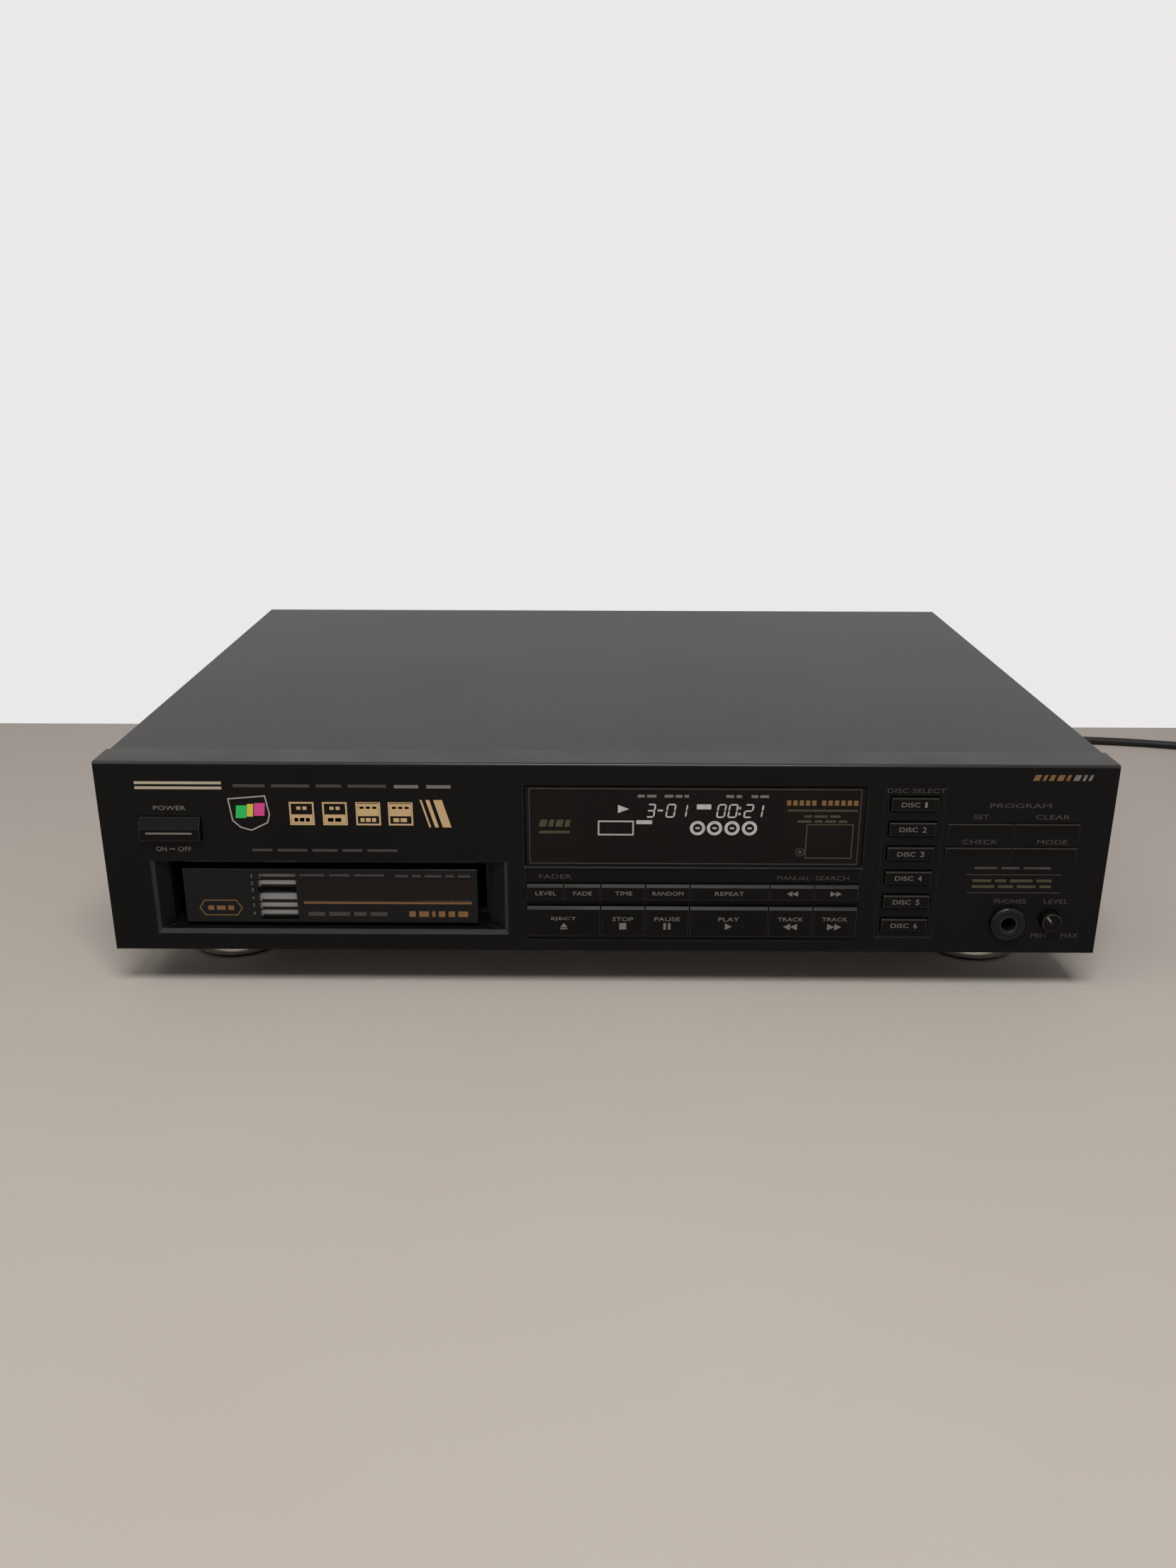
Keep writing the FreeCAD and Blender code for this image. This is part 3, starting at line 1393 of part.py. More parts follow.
def make_main_board():
    """Main board with its capacitors, chips and heat sink."""
    parts = [box("main_plate", (main_left, main_right), (main_front_y, main_rear_y),
                 (base_top + s.main_lift, main_top))]
    for number in range(CAPACITOR_COUNT):
        x = main_left + s.capacitor_margin + s.capacitor_pitch * number
        parts.append(rod(f"capacitor_{number}", "z", (x, capacitor_y), s.capacitor_radius,
                         (main_top, main_top + s.capacitor_high)))
    for number in range(CHIP_COUNT):
        x = main_left + s.chip_margin + chip_pitch * number
        parts.append(box(f"chip_{number}", (x, x + s.chip_wide), (chip_y, chip_y + s.chip_deep),
                         (main_top, main_top + s.chip_high)))
    sink_left, sink_front = sink_x - s.sink_wide / 2, sink_y - s.sink_deep / 2
    fins = [box("sink_back", (sink_left, sink_left + s.sink_fin), (sink_front, sink_front + s.sink_deep),
                (main_top, main_top + s.sink_high))]
    for number in range(SINK_FIN_COUNT):
        y = sink_front + s.sink_fin_pitch * number
        fins.append(box(f"sink_fin_{number}", (sink_left, sink_left + s.sink_wide), (y, y + s.sink_fin),
                        (main_top, main_top + s.sink_high)))
    parts.append(fuse("heat_sink", *fins))
    return subpart("main_board", group("main_board", *parts))


def make_power_transformer():
    """Laminated core with its winding, on a foot plate; the origin is under its middle."""
    half_core, half_deep = s.core_wide / 2, s.core_deep / 2
    lift = s.foot_plate_high
    core = box("core_block", (-half_core, half_core), (-half_deep, half_deep), (lift, lift + s.core_high))
    half_winding = s.winding_deep / 2
    low = lift + (s.core_high - s.winding_high) / 2
    winding = box("winding_block", (-(s.winding_wide / 2), s.winding_wide / 2),
                  (-half_winding, half_winding), (low, low + s.winding_high))
    plate = box("transformer_plate", (-half_core - s.foot_plate_ear, half_core + s.foot_plate_ear),
                (-(s.foot_plate_deep / 2), s.foot_plate_deep / 2), (as_size(0), lift))
    return subpart("power_transformer", fuse("power_transformer", core, winding, plate),
                   transformer_x, transformer_y, base_top)


def make_output_jacks():
    """Pair of phono sockets: a block on the main board, and sleeves through the rear panel."""
    half = s.jack_block_wide / 2
    under = main_top
    block = box("jack_block", (jack_x - half, jack_x + half),
                (rear_inside - s.jack_block_deep, rear_inside), (under, under + s.jack_block_high))
    sleeves, bores = [], []
    neck = s.jack_radius + s.jack_neck
    for side in (-1, 1):
        centre = (jack_x + s.jack_pitch / 2 * side, jack_z)
        end = rear_outside + s.jack_long
        sleeves.append(rod(f"jack_neck_{side}", "y", centre, neck, (rear_inside, rear_outside)))
        sleeves.append(rod(f"jack_sleeve_{side}", "y", centre, s.jack_radius, (rear_outside, end)))
        bores.append(rod(f"jack_bore_{side}", "y", centre, s.jack_bore, (rear_inside, end + 1)))
    return subpart("output_jacks", cut("output_jacks", fuse("jack_solid", block, *sleeves), *bores))


# ---------------------------------------------------------------- mains lead

def make_cord_bush():
    """Bush in the rear panel with a tapered nose round the lead; its origin is on the panel."""
    head, nose = s.bush_head_thick, s.bush_head_thick + s.bush_nose_long
    inside = -(s.rear_wall + s.bush_inside)
    bush = revolve("bush_body_turned", "XY_Plane", [
        (0, inside), (s.bush_body + 1, inside), (s.bush_body + 1, -s.rear_wall - s.bush_body_gap),
        (s.bush_body, -s.rear_wall - s.bush_body_gap),
        (s.bush_body, 0), (s.bush_head, 0), (s.bush_head, head - 1), (s.bush_head - 1, head),
        (s.bush_nose_root, head), (s.bush_nose_tip, nose), (0, nose),
    ])
    return subpart("cord_bush", bush, bush_x, rear_outside, bush_z)


def cord_path(points):
    """Straight runs joined by tangent arcs, as one wire; prints each radius."""
    corners = [FreeCAD.Vector(*point) for point in points]
    edges, radii = [], []
    start = corners[0]
    for before, corner, after in zip(corners, corners[1:], corners[2:]):
        back, onward = (before - corner), (after - corner)
        reach = 0.45 * min(back.Length, onward.Length)
        back.normalize()
        onward.normalize()
        half_turn = (math.pi - back.getAngle(onward)) / 2
        radius = reach / math.tan(half_turn)
        radii.append(round(radius, 1))
        entry, leave = corner + back * reach, corner + onward * reach
        towards = (back + onward).normalize()
        middle = corner + towards * (radius / math.cos(half_turn) - radius)
        edges.append(Part.LineSegment(start, entry).toShape())
        edges.append(Part.Arc(entry, middle, leave).toShape())
        start = leave
    edges.append(Part.LineSegment(start, corners[-1]).toShape())
    print("lead radii", radii)
    return Part.Wire(edges)


def make_power_cord():
    """The lead from its bush to its coil, as a round tube along the route."""
    path = cord_path(CORD_ROUTE)
    first = FreeCAD.Vector(*CORD_ROUTE[0])
    heading = FreeCAD.Vector(*CORD_ROUTE[1]) - first
    ring = Part.Wire(Part.makeCircle(s.cord_radius.value, first, heading))
    cord = doc.addObject("Part::Feature", "power_cord")
    cord.Shape = path.makePipeShell([ring], True, False)
    expected = math.pi * s.cord_radius.value ** 2 * path.Length
    print("lead length", round(path.Length, 1), "volume ratio", round(cord.Shape.Volume / expected, 4))
    return subpart("power_cord", cord)


def make_cord_coil():
    """The outer shape of the wound length of the lead."""
    half, high = s.coil_wide / 2, s.coil_high
    bevel = s.cord_radius
    inner, outer = s.coil_radius - half, s.coil_radius + half
    coil = revolve("coil_body", "XZ_Plane", [
        (inner, bevel), (inner + bevel, 0), (outer - bevel, 0), (outer, bevel),
        (outer, high - bevel), (outer - bevel, high), (inner + bevel, high), (inner, high - bevel),
    ])
    return subpart("cord_coil", coil, COIL_CENTRE[0], COIL_CENTRE[1], s.coil_lift)


def make_power_plug():
    """Flat two-pin plug that lies beside the coil; its origin is at its neck's end.

    The last of the lead runs straight from the coil's outer turn into the neck.
    """
    neck_end, body_end = -s.plug_neck_long, -(s.plug_neck_long + s.plug_long)
    half, thick = s.plug_wide / 2, s.plug_thick / 2
    block = box("plug_block", (-half, half), (body_end, neck_end + 1), (-thick, thick))

    def long_edge(edge):
        return edge.Length < s.plug_thick.value + 0.01

    block = rounded("plug_rounded", block, s.plug_round, long_edge)
    neck = cone("plug_neck", "y", (0, 0), (s.plug_neck_root, s.bush_nose_tip), (neck_end, 0))
    pins = [rod(f"plug_pin_{side}", "y", (s.plug_pin_pitch / 2 * side, 0), s.plug_pin_radius,
                (body_end - s.plug_pin_long, body_end + 1)) for side in (-1, 1)]
    tail = rod("plug_tail", "y", (0, 0), s.cord_radius, (as_size(-1), s.plug_tail_long))
    outer_turn = s.coil_radius + s.coil_wide / 2 - s.cord_radius
    return subpart("power_plug", fuse("power_plug", block, neck, tail, *pins),
                   COIL_CENTRE[0] + outer_turn, COIL_CENTRE[1] - s.plug_tail_long - s.plug_tail_drop, thick)


# ---------------------------------------------------------------- assembly

def build():
    """Make every sub-part in order, from the housing inwards."""
    make_front_panel()
    make_top_cover()
    make_base_chassis()
    make_rear_panel()
    make_feet()
    make_housing_screws()
    make_display_window()
    make_display_tube()
    make_control_board()
    make_keys()
    make_phones_board()
    make_level_knob()
    make_magazine_case()
    make_tray_pin()
    for number in range(1, TRAY_COUNT + 1):
        make_tray(number)
    make_compact_disc()
    make_magazine_bay()
    make_lift_frame()
    make_lift_deck()
    make_spindle_motor()
    make_turntable()
    make_pickup_rods()
    make_pickup()
    make_clamp_plate()
    make_clamp_puck()
    make_main_board()
    make_power_transformer()
    make_output_jacks()
    make_cord_bush()
    make_power_cord()
    make_cord_coil()
    make_power_plug()


def check_document():
    """Stop if any object failed, or if a sub-part has no sound shape."""
    for thing in doc.Objects:
        if "Invalid" in thing.State or "Error" in thing.State:
            raise RuntimeError(f"{thing.Name} failed: {thing.State}")
    for thing in subparts:
        if thing.Shape.isNull() or not thing.Shape.isValid():
            raise RuntimeError(f"{thing.Label} has no valid shape")


def write_parts():
    """Write one STEP file for each sub-part."""
    os.makedirs("parts", exist_ok=True)
    for thing in subparts:
        thing.Shape.exportStep(f"parts/{thing.Label}.step")
    print(len(subparts), "sub-parts written")


build()
doc.recompute()
check_document()
write_parts()
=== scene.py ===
"""Dressed model of a magazine compact disc changer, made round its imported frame.

+X is to the right of someone facing the front, +Y points to the rear and +Z up. Sizes in the
classes are millimetres, and one factor turns them to the metres of the frame.
"""

import logging
import math
from collections.abc import Sequence
from dataclasses import dataclass, field
from enum import Enum
from functools import cached_property
from typing import ClassVar

import bmesh
import bpy
import numpy as np
from mathutils import Matrix, Vector

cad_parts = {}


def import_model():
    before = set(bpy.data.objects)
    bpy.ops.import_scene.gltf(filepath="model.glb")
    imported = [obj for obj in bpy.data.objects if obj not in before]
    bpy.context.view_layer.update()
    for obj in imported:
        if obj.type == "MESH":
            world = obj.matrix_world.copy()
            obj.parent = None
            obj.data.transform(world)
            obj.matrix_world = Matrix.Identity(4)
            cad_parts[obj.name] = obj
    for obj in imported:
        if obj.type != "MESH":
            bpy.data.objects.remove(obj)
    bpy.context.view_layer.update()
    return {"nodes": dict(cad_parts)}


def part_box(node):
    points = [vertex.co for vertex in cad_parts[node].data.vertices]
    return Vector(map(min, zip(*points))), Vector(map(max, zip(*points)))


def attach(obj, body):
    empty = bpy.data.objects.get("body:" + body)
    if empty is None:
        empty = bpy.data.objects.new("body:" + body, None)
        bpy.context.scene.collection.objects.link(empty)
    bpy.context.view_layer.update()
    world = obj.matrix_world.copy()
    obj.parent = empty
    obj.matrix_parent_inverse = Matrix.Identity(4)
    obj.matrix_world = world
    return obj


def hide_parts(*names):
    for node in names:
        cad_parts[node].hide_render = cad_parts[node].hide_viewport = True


METRES = 0.001  # in a millimetre
# Faces that look up and lie above this height get a painted sheen.
SHEEN_ABOVE = 100.0  # millimetres: from here up nothing covers a face that looks up
WELD = 2e-6  # metres: points closer than this are one
SLIVER = 1e-7  # metres: edges and faces smaller than this go
SHARP = math.radians(35)  # a corner wider than this isn't shaded smooth
WAVE_TURN = 20.0  # radians of a wave texture in one unit of its scale
SEGMENT_GAP = 0.12  # of a lit segment's width, left free at each of its ends
FILM = 0.05  # millimetres: a printed film
LOG = logging.getLogger("disc_changer")
Outline = Sequence[tuple[float, float]]
Place = tuple[float, float, float]


# ---------------------------------------------------------------- surfaces


@dataclass
class Surface:
    """Points in millimetres, and faces that name them in turning order."""

    points: np.ndarray
    faces: list[list[int]]


def join(surfaces: list[Surface]) -> Surface:
    """Put several surfaces side by side in one.

    Args:
        surfaces: the surfaces, none of them changed.

    Returns:
        One surface, each part's faces counted on from the points before it.
    """
    faces: list[list[int]] = []
    count = 0
    for surface in surfaces:
        faces += [[corner + count for corner in face] for face in surface.faces]
        count += len(surface.points)
    return Surface(np.concatenate([surface.points for surface in surfaces]), faces)


def grid(points: np.ndarray, around: bool) -> Surface:
    """Span a grid of points with four-cornered faces.

    Args:
        points: rows by columns by three; a row is one step of the first parameter.
        around: whether the last column meets the first again.

    Returns:
        The surface; the face at (i, j) has corners (i, j), (i, j+1), (i+1, j+1), (i+1, j).
    """
    rows, columns = points.shape[:2]
    number = np.arange(rows * columns).reshape(rows, columns)
    if around:
        number = np.concatenate([number, number[:, :1]], axis=1)
    corners = [number[:-1, :-1], number[:-1, 1:], number[1:, 1:], number[1:, :-1]]
    return Surface(points.reshape(-1, 3), np.stack(corners, axis=-1).reshape(-1, 4).tolist())


def turned(profile: Outline, centre: Place, axis: str = "z", steps: int = 48) -> Surface:
    """Turn a profile once round an axis.

    Args:
        profile: (radius, distance along the axis) of each point, in order along the profile.
        centre: the point that the distances start from.
        axis: x, y or z.
        steps: how many points one turn has.

    Returns:
        The turned surface. With radius r and distance d on the profile and the angle a, a point
        lies at the centre plus r cos a on one cross axis, r sin a on the other, and d along.
    """
    radius, along = np.array(profile, float).T
    angle = np.linspace(0.0, 2.0 * math.pi, steps, endpoint=False)
    points = np.empty((len(radius), steps, 3))
    main = "xyz".index(axis)
    points[..., (main + 1) % 3] = radius[:, None] * np.cos(angle)
    points[..., (main + 2) % 3] = radius[:, None] * np.sin(angle)
    points[..., main] = along[:, None]
    return grid(points + np.array(centre), around=True)


def prism(outline: Outline, face_y: float, raised: float) -> Surface:
    """A flat shape that lies on an upright plane and faces the front.

    Args:
        outline: (x, z) of each corner, anticlockwise as the front sees it.
        face_y: the plane that it lies on.
        raised: how far it stands out of the plane.

    Returns:
        A closed solid: the outline at face_y less raised, the same at face_y, and its sides.
    """
    flat = np.array(outline, float)
    count = len(flat)
    near = np.column_stack([flat[:, 0], np.full(count, face_y - raised), flat[:, 1]])
    far = near + np.array([0.0, raised, 0.0])
    number = np.arange(count)
    after = np.roll(number, -1)
    sides = np.column_stack([number, number + count, after + count, after])
    faces = [number.tolist(), (2 * count - 1 - number).tolist(), *sides.tolist()]
    return Surface(np.concatenate([near, far]), faces)


def bar(left: float, right: float, low: float, high: float, slant: float = 0.0) -> Outline:
    """The corners of a rectangle, with its upper edge moved right by the slant."""
    return [(left, low), (right, low), (right + slant, high), (left + slant, high)]


def disc_outline(x: float, z: float, radius: float, steps: int = 32) -> Outline:
    """Points of a circle: centre plus the radius times the cosine and the sine of the angle."""
    angle = np.linspace(0.0, 2.0 * math.pi, steps, endpoint=False)
    return list(zip(x + radius * np.cos(angle), z + radius * np.sin(angle)))


def frame_outline(outer: Outline, line: float, face_y: float, raised: float) -> Surface:
    """A drawn outline: a strip of even width along the inside of a closed shape.

    Args:
        outer: (x, z) of each corner of the shape, anticlockwise.
        line: width of the strip.
        face_y: the plane that it lies on.
        raised: how far it stands out.

    Returns:
        The strip. Each inner corner lies on the bisector of its two edges, at the line's width
        over the sine of half the corner's angle.
    """
    corner = np.array(outer, float)
    onward = np.roll(corner, -1, axis=0) - corner
    onward /= np.linalg.norm(onward, axis=1, keepdims=True)
    inward = np.column_stack([-onward[:, 1], onward[:, 0]])
    before = np.roll(inward, 1, axis=0)
    bisector = inward + before
    bisector /= (bisector * inward).sum(axis=1, keepdims=True)
    inner = corner + bisector * line
    rings = [np.column_stack([ring[:, 0], np.full(len(ring), y), ring[:, 1]])
             for ring, y in ((corner, face_y), (corner, face_y - raised),
                             (inner, face_y - raised), (inner, face_y), (corner, face_y))]
    return grid(np.stack(rings), around=True)


def lettering(text: str, centre: tuple[float, float], wide: float, high: float,
              face_y: float, raised: float) -> Surface:
    """Plain capital letters or figures that lie on an upright plane.

    Args:
        text: what it says.
        centre: (x, z) of its middle.
        wide: its whole width.
        high: the height of its capitals.
        face_y: the plane that it lies on.
        raised: how far it stands out.

    Returns:
        The letters as closed solids, drawn in the built-in font and fitted to the width and height.
    """
    curve = bpy.data.curves.new("letters", "FONT")
    curve.body = text
    curve.resolution_u = 3
    curve.extrude = 0.5
    holder = bpy.data.objects.new("letters", curve)
    mesh = bpy.data.meshes.new_from_object(holder)
    points = np.empty(len(mesh.vertices) * 3)
    mesh.vertices.foreach_get("co", points)
    points = points.reshape(-1, 3)
    faces = [list(face.vertices) for face in mesh.polygons]
    bpy.data.objects.remove(holder)
    bpy.data.curves.remove(curve)
    bpy.data.meshes.remove(mesh)
    low, high_corner = points.min(axis=0), points.max(axis=0)
    unit = (points - (low + high_corner) / 2) / (high_corner - low)
    placed = np.column_stack([centre[0] + unit[:, 0] * wide,
                              face_y - raised * (unit[:, 2] + 0.5),
                              centre[1] + unit[:, 1] * high])
    return Surface(placed, faces)


def smooth_step(values: np.ndarray, start: float, wide: float) -> np.ndarray:
    """The smooth step 3 s^2 - 2 s^3 of the share s of the way from start to start + wide."""
    share = np.clip((values - start) / wide, 0.0, 1.0)
    return share * share * (3.0 - 2.0 * share)


def grooves(along: np.ndarray, start: float, apart: float) -> np.ndarray:
    """Flat bottomed grooves: three times the sine of a turn in each spacing, held from 0 to 1."""
    return np.clip(np.sin((along - start) / apart * 2.0 * math.pi) * 3.0, 0.0, 1.0)


def make_piece(name: str, surface: Surface, finish: "Finish", body: str,
               smooth: bool = False) -> bpy.types.Object:
    """Make an object of a surface, dress it and let it ride on a body.

    Args:
        name: the piece's name.
        surface: its shape, in millimetres in the frame.
        finish: what it is made of.
        body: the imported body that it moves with.
        smooth: whether its round faces are shaded smooth, up to a sharp corner.

    Returns:
        The object, at the origin, with its doubles merged and its faces outwards.
    """
    mesh = bpy.data.meshes.new(name)
    mesh.from_pydata((surface.points * METRES).tolist(), [], surface.faces)
    work = bmesh.new()
    work.from_mesh(mesh)
    bmesh.ops.remove_doubles(work, verts=work.verts, dist=WELD)
    bmesh.ops.dissolve_degenerate(work, dist=SLIVER, edges=work.edges)
    bmesh.ops.recalc_face_normals(work, faces=work.faces)
    work.to_mesh(mesh)
    work.free()
    if smooth:
        mesh.polygons.foreach_set("use_smooth", np.ones(len(mesh.polygons), bool))
        mesh.set_sharp_from_angle(angle=SHARP)
    mesh.materials.append(finish.material())
    piece = bpy.data.objects.new(name, mesh)
    bpy.context.scene.collection.objects.link(piece)
    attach(piece, body)
    return piece


# ---------------------------------------------------------------- finishes


def linear(colour: str) -> tuple[float, float, float, float]:
    """Turn an sRGB hex colour to linear.

    Args:
        colour: a hash and six hex digits.

    Returns:
        Red, green, blue and 1: each value c is c / 12.92 up to 0.04045, and above it
        ((c + 0.055) / 1.055) to the power 2.4.
    """
    parts = [int(colour[start:start + 2], 16) / 255 for start in (1, 3, 5)]
    red, green, blue = (c / 12.92 if c <= 0.04045 else ((c + 0.055) / 1.055) ** 2.4 for c in parts)
    return (red, green, blue, 1.0)


def add_node(tree: bpy.types.NodeTree, kind: str, settings: dict | None = None,
             sockets: dict | None = None) -> bpy.types.Node:
    """Add a node with its settings and links.

    Args:
        tree: the node tree.
        kind: Blender's name for the node, without its leading ShaderNode.
        settings: attributes of the node.
        sockets: for each input, by name or number, a value or the output that feeds it.

    Returns:
        The node.
    """
    node = tree.nodes.new("ShaderNode" + kind)
    for name, value in (settings or {}).items():
        setattr(node, name, value)
    for name, value in (sockets or {}).items():
        if isinstance(value, bpy.types.NodeSocket):
            tree.links.new(value, node.inputs[name])
        else:
            node.inputs[name].default_value = value
    return node


def per_metre(size_mm: float) -> float:
    """The texture scale at which one pattern element has that size."""
    return 1.0 / (size_mm * METRES)


@dataclass(frozen=True)
class Finish:
    """What a surface is made of; each kind wires its own nodes for one Principled shader."""

    name: str

    def material(self) -> bpy.types.Material:
        """The Blender material, made on first use.

        Returns:
            The material of this name.
        """
        known = bpy.data.materials.get(self.name)
        if known:
            return known
        material = bpy.data.materials.new(self.name)
        material.use_nodes = True
        tree = material.node_tree
        tree.nodes.clear()
        place = add_node(tree, "TexCoord").outputs["Object"]
        shader = add_node(tree, "BsdfPrincipled", sockets=self.wire(tree, place))
        add_node(tree, "OutputMaterial", sockets={"Surface": shader.outputs[0]})
        return material

    def wire(self, tree: bpy.types.NodeTree, place: bpy.types.NodeSocket) -> dict:
        """What feeds each input of the shader; each kind of finish has its own."""
        raise NotImplementedError


@dataclass(frozen=True)
class Moulded(Finish):
    """Injection moulded or sprayed plastic: a fine even grain, broken by wide, faint clouds."""

    colour: str
    rubbed: str
    roughness: float
    specular: float = 0.5
    grain_mm: float = 0.5
    relief_mm: float = 0.004
    cloud_mm: float = 35.0
    spread: float = 0.06
    edge_mm: float = 0.3
    # colour of the painted highlight along the edges
    edge_highlight: str = ""
    # colour of the painted sheen on faces that look up
    top_sheen: str = ""

    def wire(self, tree: bpy.types.NodeTree, place: bpy.types.NodeSocket) -> dict:
        """Grain makes the bump; clouds shift the colour and the roughness; edges are rounded.

        Where the rounded normal leaves the true one, along an edge, a paler colour is painted in as
        a highlight and the finish is glossier.
        Faces that look up, above the height set at the top, get a paler colour painted in as a
        sheen.

        Args:
            tree: the material's node tree.
            place: the output that gives the place on the object.

        Returns:
            For each input of the shader, a value or the output that feeds it.
        """
        grain = add_node(tree, "TexNoise", sockets={
            "Vector": place, "Scale": per_metre(self.grain_mm), "Detail": 2.0})
        cloud = add_node(tree, "TexNoise", sockets={
            "Vector": place, "Scale": per_metre(self.cloud_mm), "Detail": 4.0})
        tone = add_node(tree, "Mix", {"data_type": "RGBA"}, {
            0: cloud.outputs[0], 6: linear(self.colour), 7: linear(self.rubbed)})
        rough = add_node(tree, "MapRange", sockets={
            "Value": cloud.outputs[0], "From Min": 0.3, "From Max": 0.7,
            "To Min": self.roughness - self.spread, "To Max": self.roughness + self.spread})
        edge = add_node(tree, "Bevel", {"samples": 4}, {"Radius": self.edge_mm * METRES})
        bump = add_node(tree, "Bump", sockets={
            "Strength": 0.6, "Distance": self.relief_mm * METRES,
            "Height": grain.outputs[0], "Normal": edge.outputs[0]})
        # Painted highlight: along edges a paler colour is mixed in; the lower roughness there is
        # real gloss.
        if self.edge_highlight:
            flat = add_node(tree, "NewGeometry").outputs["Normal"]
            turn = add_node(tree, "VectorMath", {"operation": "DOT_PRODUCT"}, {
                0: edge.outputs[0], 1: flat})
            highlight_share = add_node(tree, "MapRange", sockets={
                "Value": turn.outputs["Value"], "From Min": 0.995, "From Max": 0.93})
            tone = add_node(tree, "Mix", {"data_type": "RGBA"}, {
                0: highlight_share.outputs[0], 6: tone.outputs[2], 7: linear(self.edge_highlight)})
            rough = add_node(tree, "Mix", {"data_type": "FLOAT"}, {
                0: highlight_share.outputs[0], 2: rough.outputs[0], 3: self.roughness * 0.4})
        # Painted sheen: faces that look up, above the set height, get a paler colour.
        if self.top_sheen:
            facing = add_node(tree, "SeparateXYZ", sockets={
                "Vector": add_node(tree, "NewGeometry").outputs["Normal"]})
            sheen_share = add_node(tree, "MapRange", sockets={
                "Value": facing.outputs[2], "From Min": 0.95, "From Max": 1.0})
            height = add_node(tree, "SeparateXYZ", sockets={"Vector": place})
            bare = add_node(tree, "Math", {"operation": "GREATER_THAN"}, {
                0: height.outputs[2], 1: SHEEN_ABOVE * METRES})
            sheen_share = add_node(tree, "Math", {"operation": "MULTIPLY"}, {
                0: sheen_share.outputs[0], 1: bare.outputs[0]})
            tone = add_node(tree, "Mix", {"data_type": "RGBA"}, {
                0: sheen_share.outputs[0], 6: tone.outputs[2], 7: linear(self.top_sheen)})
        return {"Specular IOR Level": self.specular, "Base Color": tone.outputs[2],
                "Roughness": rough.outputs[0], "Normal": bump.outputs[0]}


@dataclass(frozen=True)
class Metal(Finish):
    """Bare or plated metal: its own colour in every reflection, with fine marks along one axis."""

    colour: str
    tarnish: str
    roughness: float
    crystal_mm: float = 5.0
    scratch_mm: Place = (0.3, 0.3, 8.0)
    relief_mm: float = 0.002

    def wire(self, tree: bpy.types.NodeTree, place: bpy.types.NodeSocket) -> dict:
        """Crystals shift the colour; stretched noise makes the scratches and the roughness.

        Args:
            tree: the material's node tree.
            place: the output that gives the place on the object.

        Returns:
            For each input of the shader, a value or the output that feeds it.
        """
        stretch = add_node(tree, "Mapping", sockets={
            "Vector": place, "Scale": tuple(per_metre(size) for size in self.scratch_mm)})
        scratch = add_node(tree, "TexNoise", sockets={
            "Vector": stretch.outputs[0], "Scale": 1.0, "Detail": 3.0})
        crystal = add_node(tree, "TexVoronoi", sockets={
            "Vector": place, "Scale": per_metre(self.crystal_mm)})
        tone = add_node(tree, "Mix", {"data_type": "RGBA"}, {
            0: crystal.outputs["Distance"], 6: linear(self.colour), 7: linear(self.tarnish)})
        rough = add_node(tree, "MapRange", sockets={
            "Value": scratch.outputs[0], "From Min": 0.3, "From Max": 0.7,
            "To Min": self.roughness * 0.8, "To Max": self.roughness * 1.25})
        bump = add_node(tree, "Bump", sockets={
            "Strength": 0.5, "Distance": self.relief_mm * METRES, "Height": scratch.outputs[0]})
        return {"Metallic": 1.0, "Base Color": tone.outputs[2], "Roughness": rough.outputs[0],
                "Normal": bump.outputs[0]}


@dataclass(frozen=True)
class Clear(Finish):
    """Clear or tinted solid plastic or glass: light goes in, is tinted, and comes out."""

    colour: str
    roughness: float
    index: float
    wave_mm: float = 20.0

    def wire(self, tree: bpy.types.NodeTree, place: bpy.types.NodeSocket) -> dict:
        """Slow noise makes some places a little less smooth; tint and index are constants.

        Args:
            tree: the material's node tree.
            place: the output that gives the place on the object.

        Returns:
            For each input of the shader, a value or the output that feeds it.
        """
        wave = add_node(tree, "TexNoise", sockets={
            "Vector": place, "Scale": per_metre(self.wave_mm)})
        rough = add_node(tree, "MapRange", sockets={
            "Value": wave.outputs[0], "To Min": self.roughness, "To Max": self.roughness * 1.6})
        return {"Base Color": linear(self.colour), "Transmission Weight": 1.0, "IOR": self.index,
                "Roughness": rough.outputs[0]}


@dataclass(frozen=True)
class Ink(Finish):
    """Screen printed ink: an even film, a little broken where it is thin."""

    colour: str
    thin: str
    roughness: float = 0.5
    specular: float = 0.15
    film_mm: float = 1.2

    def wire(self, tree: bpy.types.NodeTree, place: bpy.types.NodeSocket) -> dict:
        """Fine noise mixes the full and the thin tone of the ink.

        Args:
            tree: the material's node tree.
            place: the output that gives the place on the object.

        Returns:
            For each input of the shader, a value or the output that feeds it.
        """
        film = add_node(tree, "TexNoise", sockets={
            "Vector": place, "Scale": per_metre(self.film_mm)})
        tone = add_node(tree, "Mix", {"data_type": "RGBA"}, {
            0: film.outputs[0], 6: linear(self.colour), 7: linear(self.thin)})
        return {"Roughness": self.roughness, "Specular IOR Level": self.specular,
                "Base Color": tone.outputs[2]}


@dataclass(frozen=True)
class Phosphor(Finish):
    """Phosphor of a fluorescent display: it gives its own light, a little uneven."""

    colour: str
    strength: float
    wave_mm: float = 0.6

    def wire(self, tree: bpy.types.NodeTree, place: bpy.types.NodeSocket) -> dict:
        """A wave along x dims the light a little, once in each 2 pi times the wave's size.

        Args:
            tree: the material's node tree.
            place: the output that gives the place on the object.

        Returns:
            For each input of the shader, a value or the output that feeds it.
        """
        wave = add_node(tree, "TexWave", {"bands_direction": "X"}, {
            "Vector": place, "Scale": per_metre(self.wave_mm) / WAVE_TURN})
        level = add_node(tree, "MapRange", sockets={
            "Value": wave.outputs[1], "To Min": self.strength * 0.85, "To Max": self.strength})
        return {"Base Color": linear(self.colour), "Emission Color": linear(self.colour),
                "Emission Strength": level.outputs[0]}


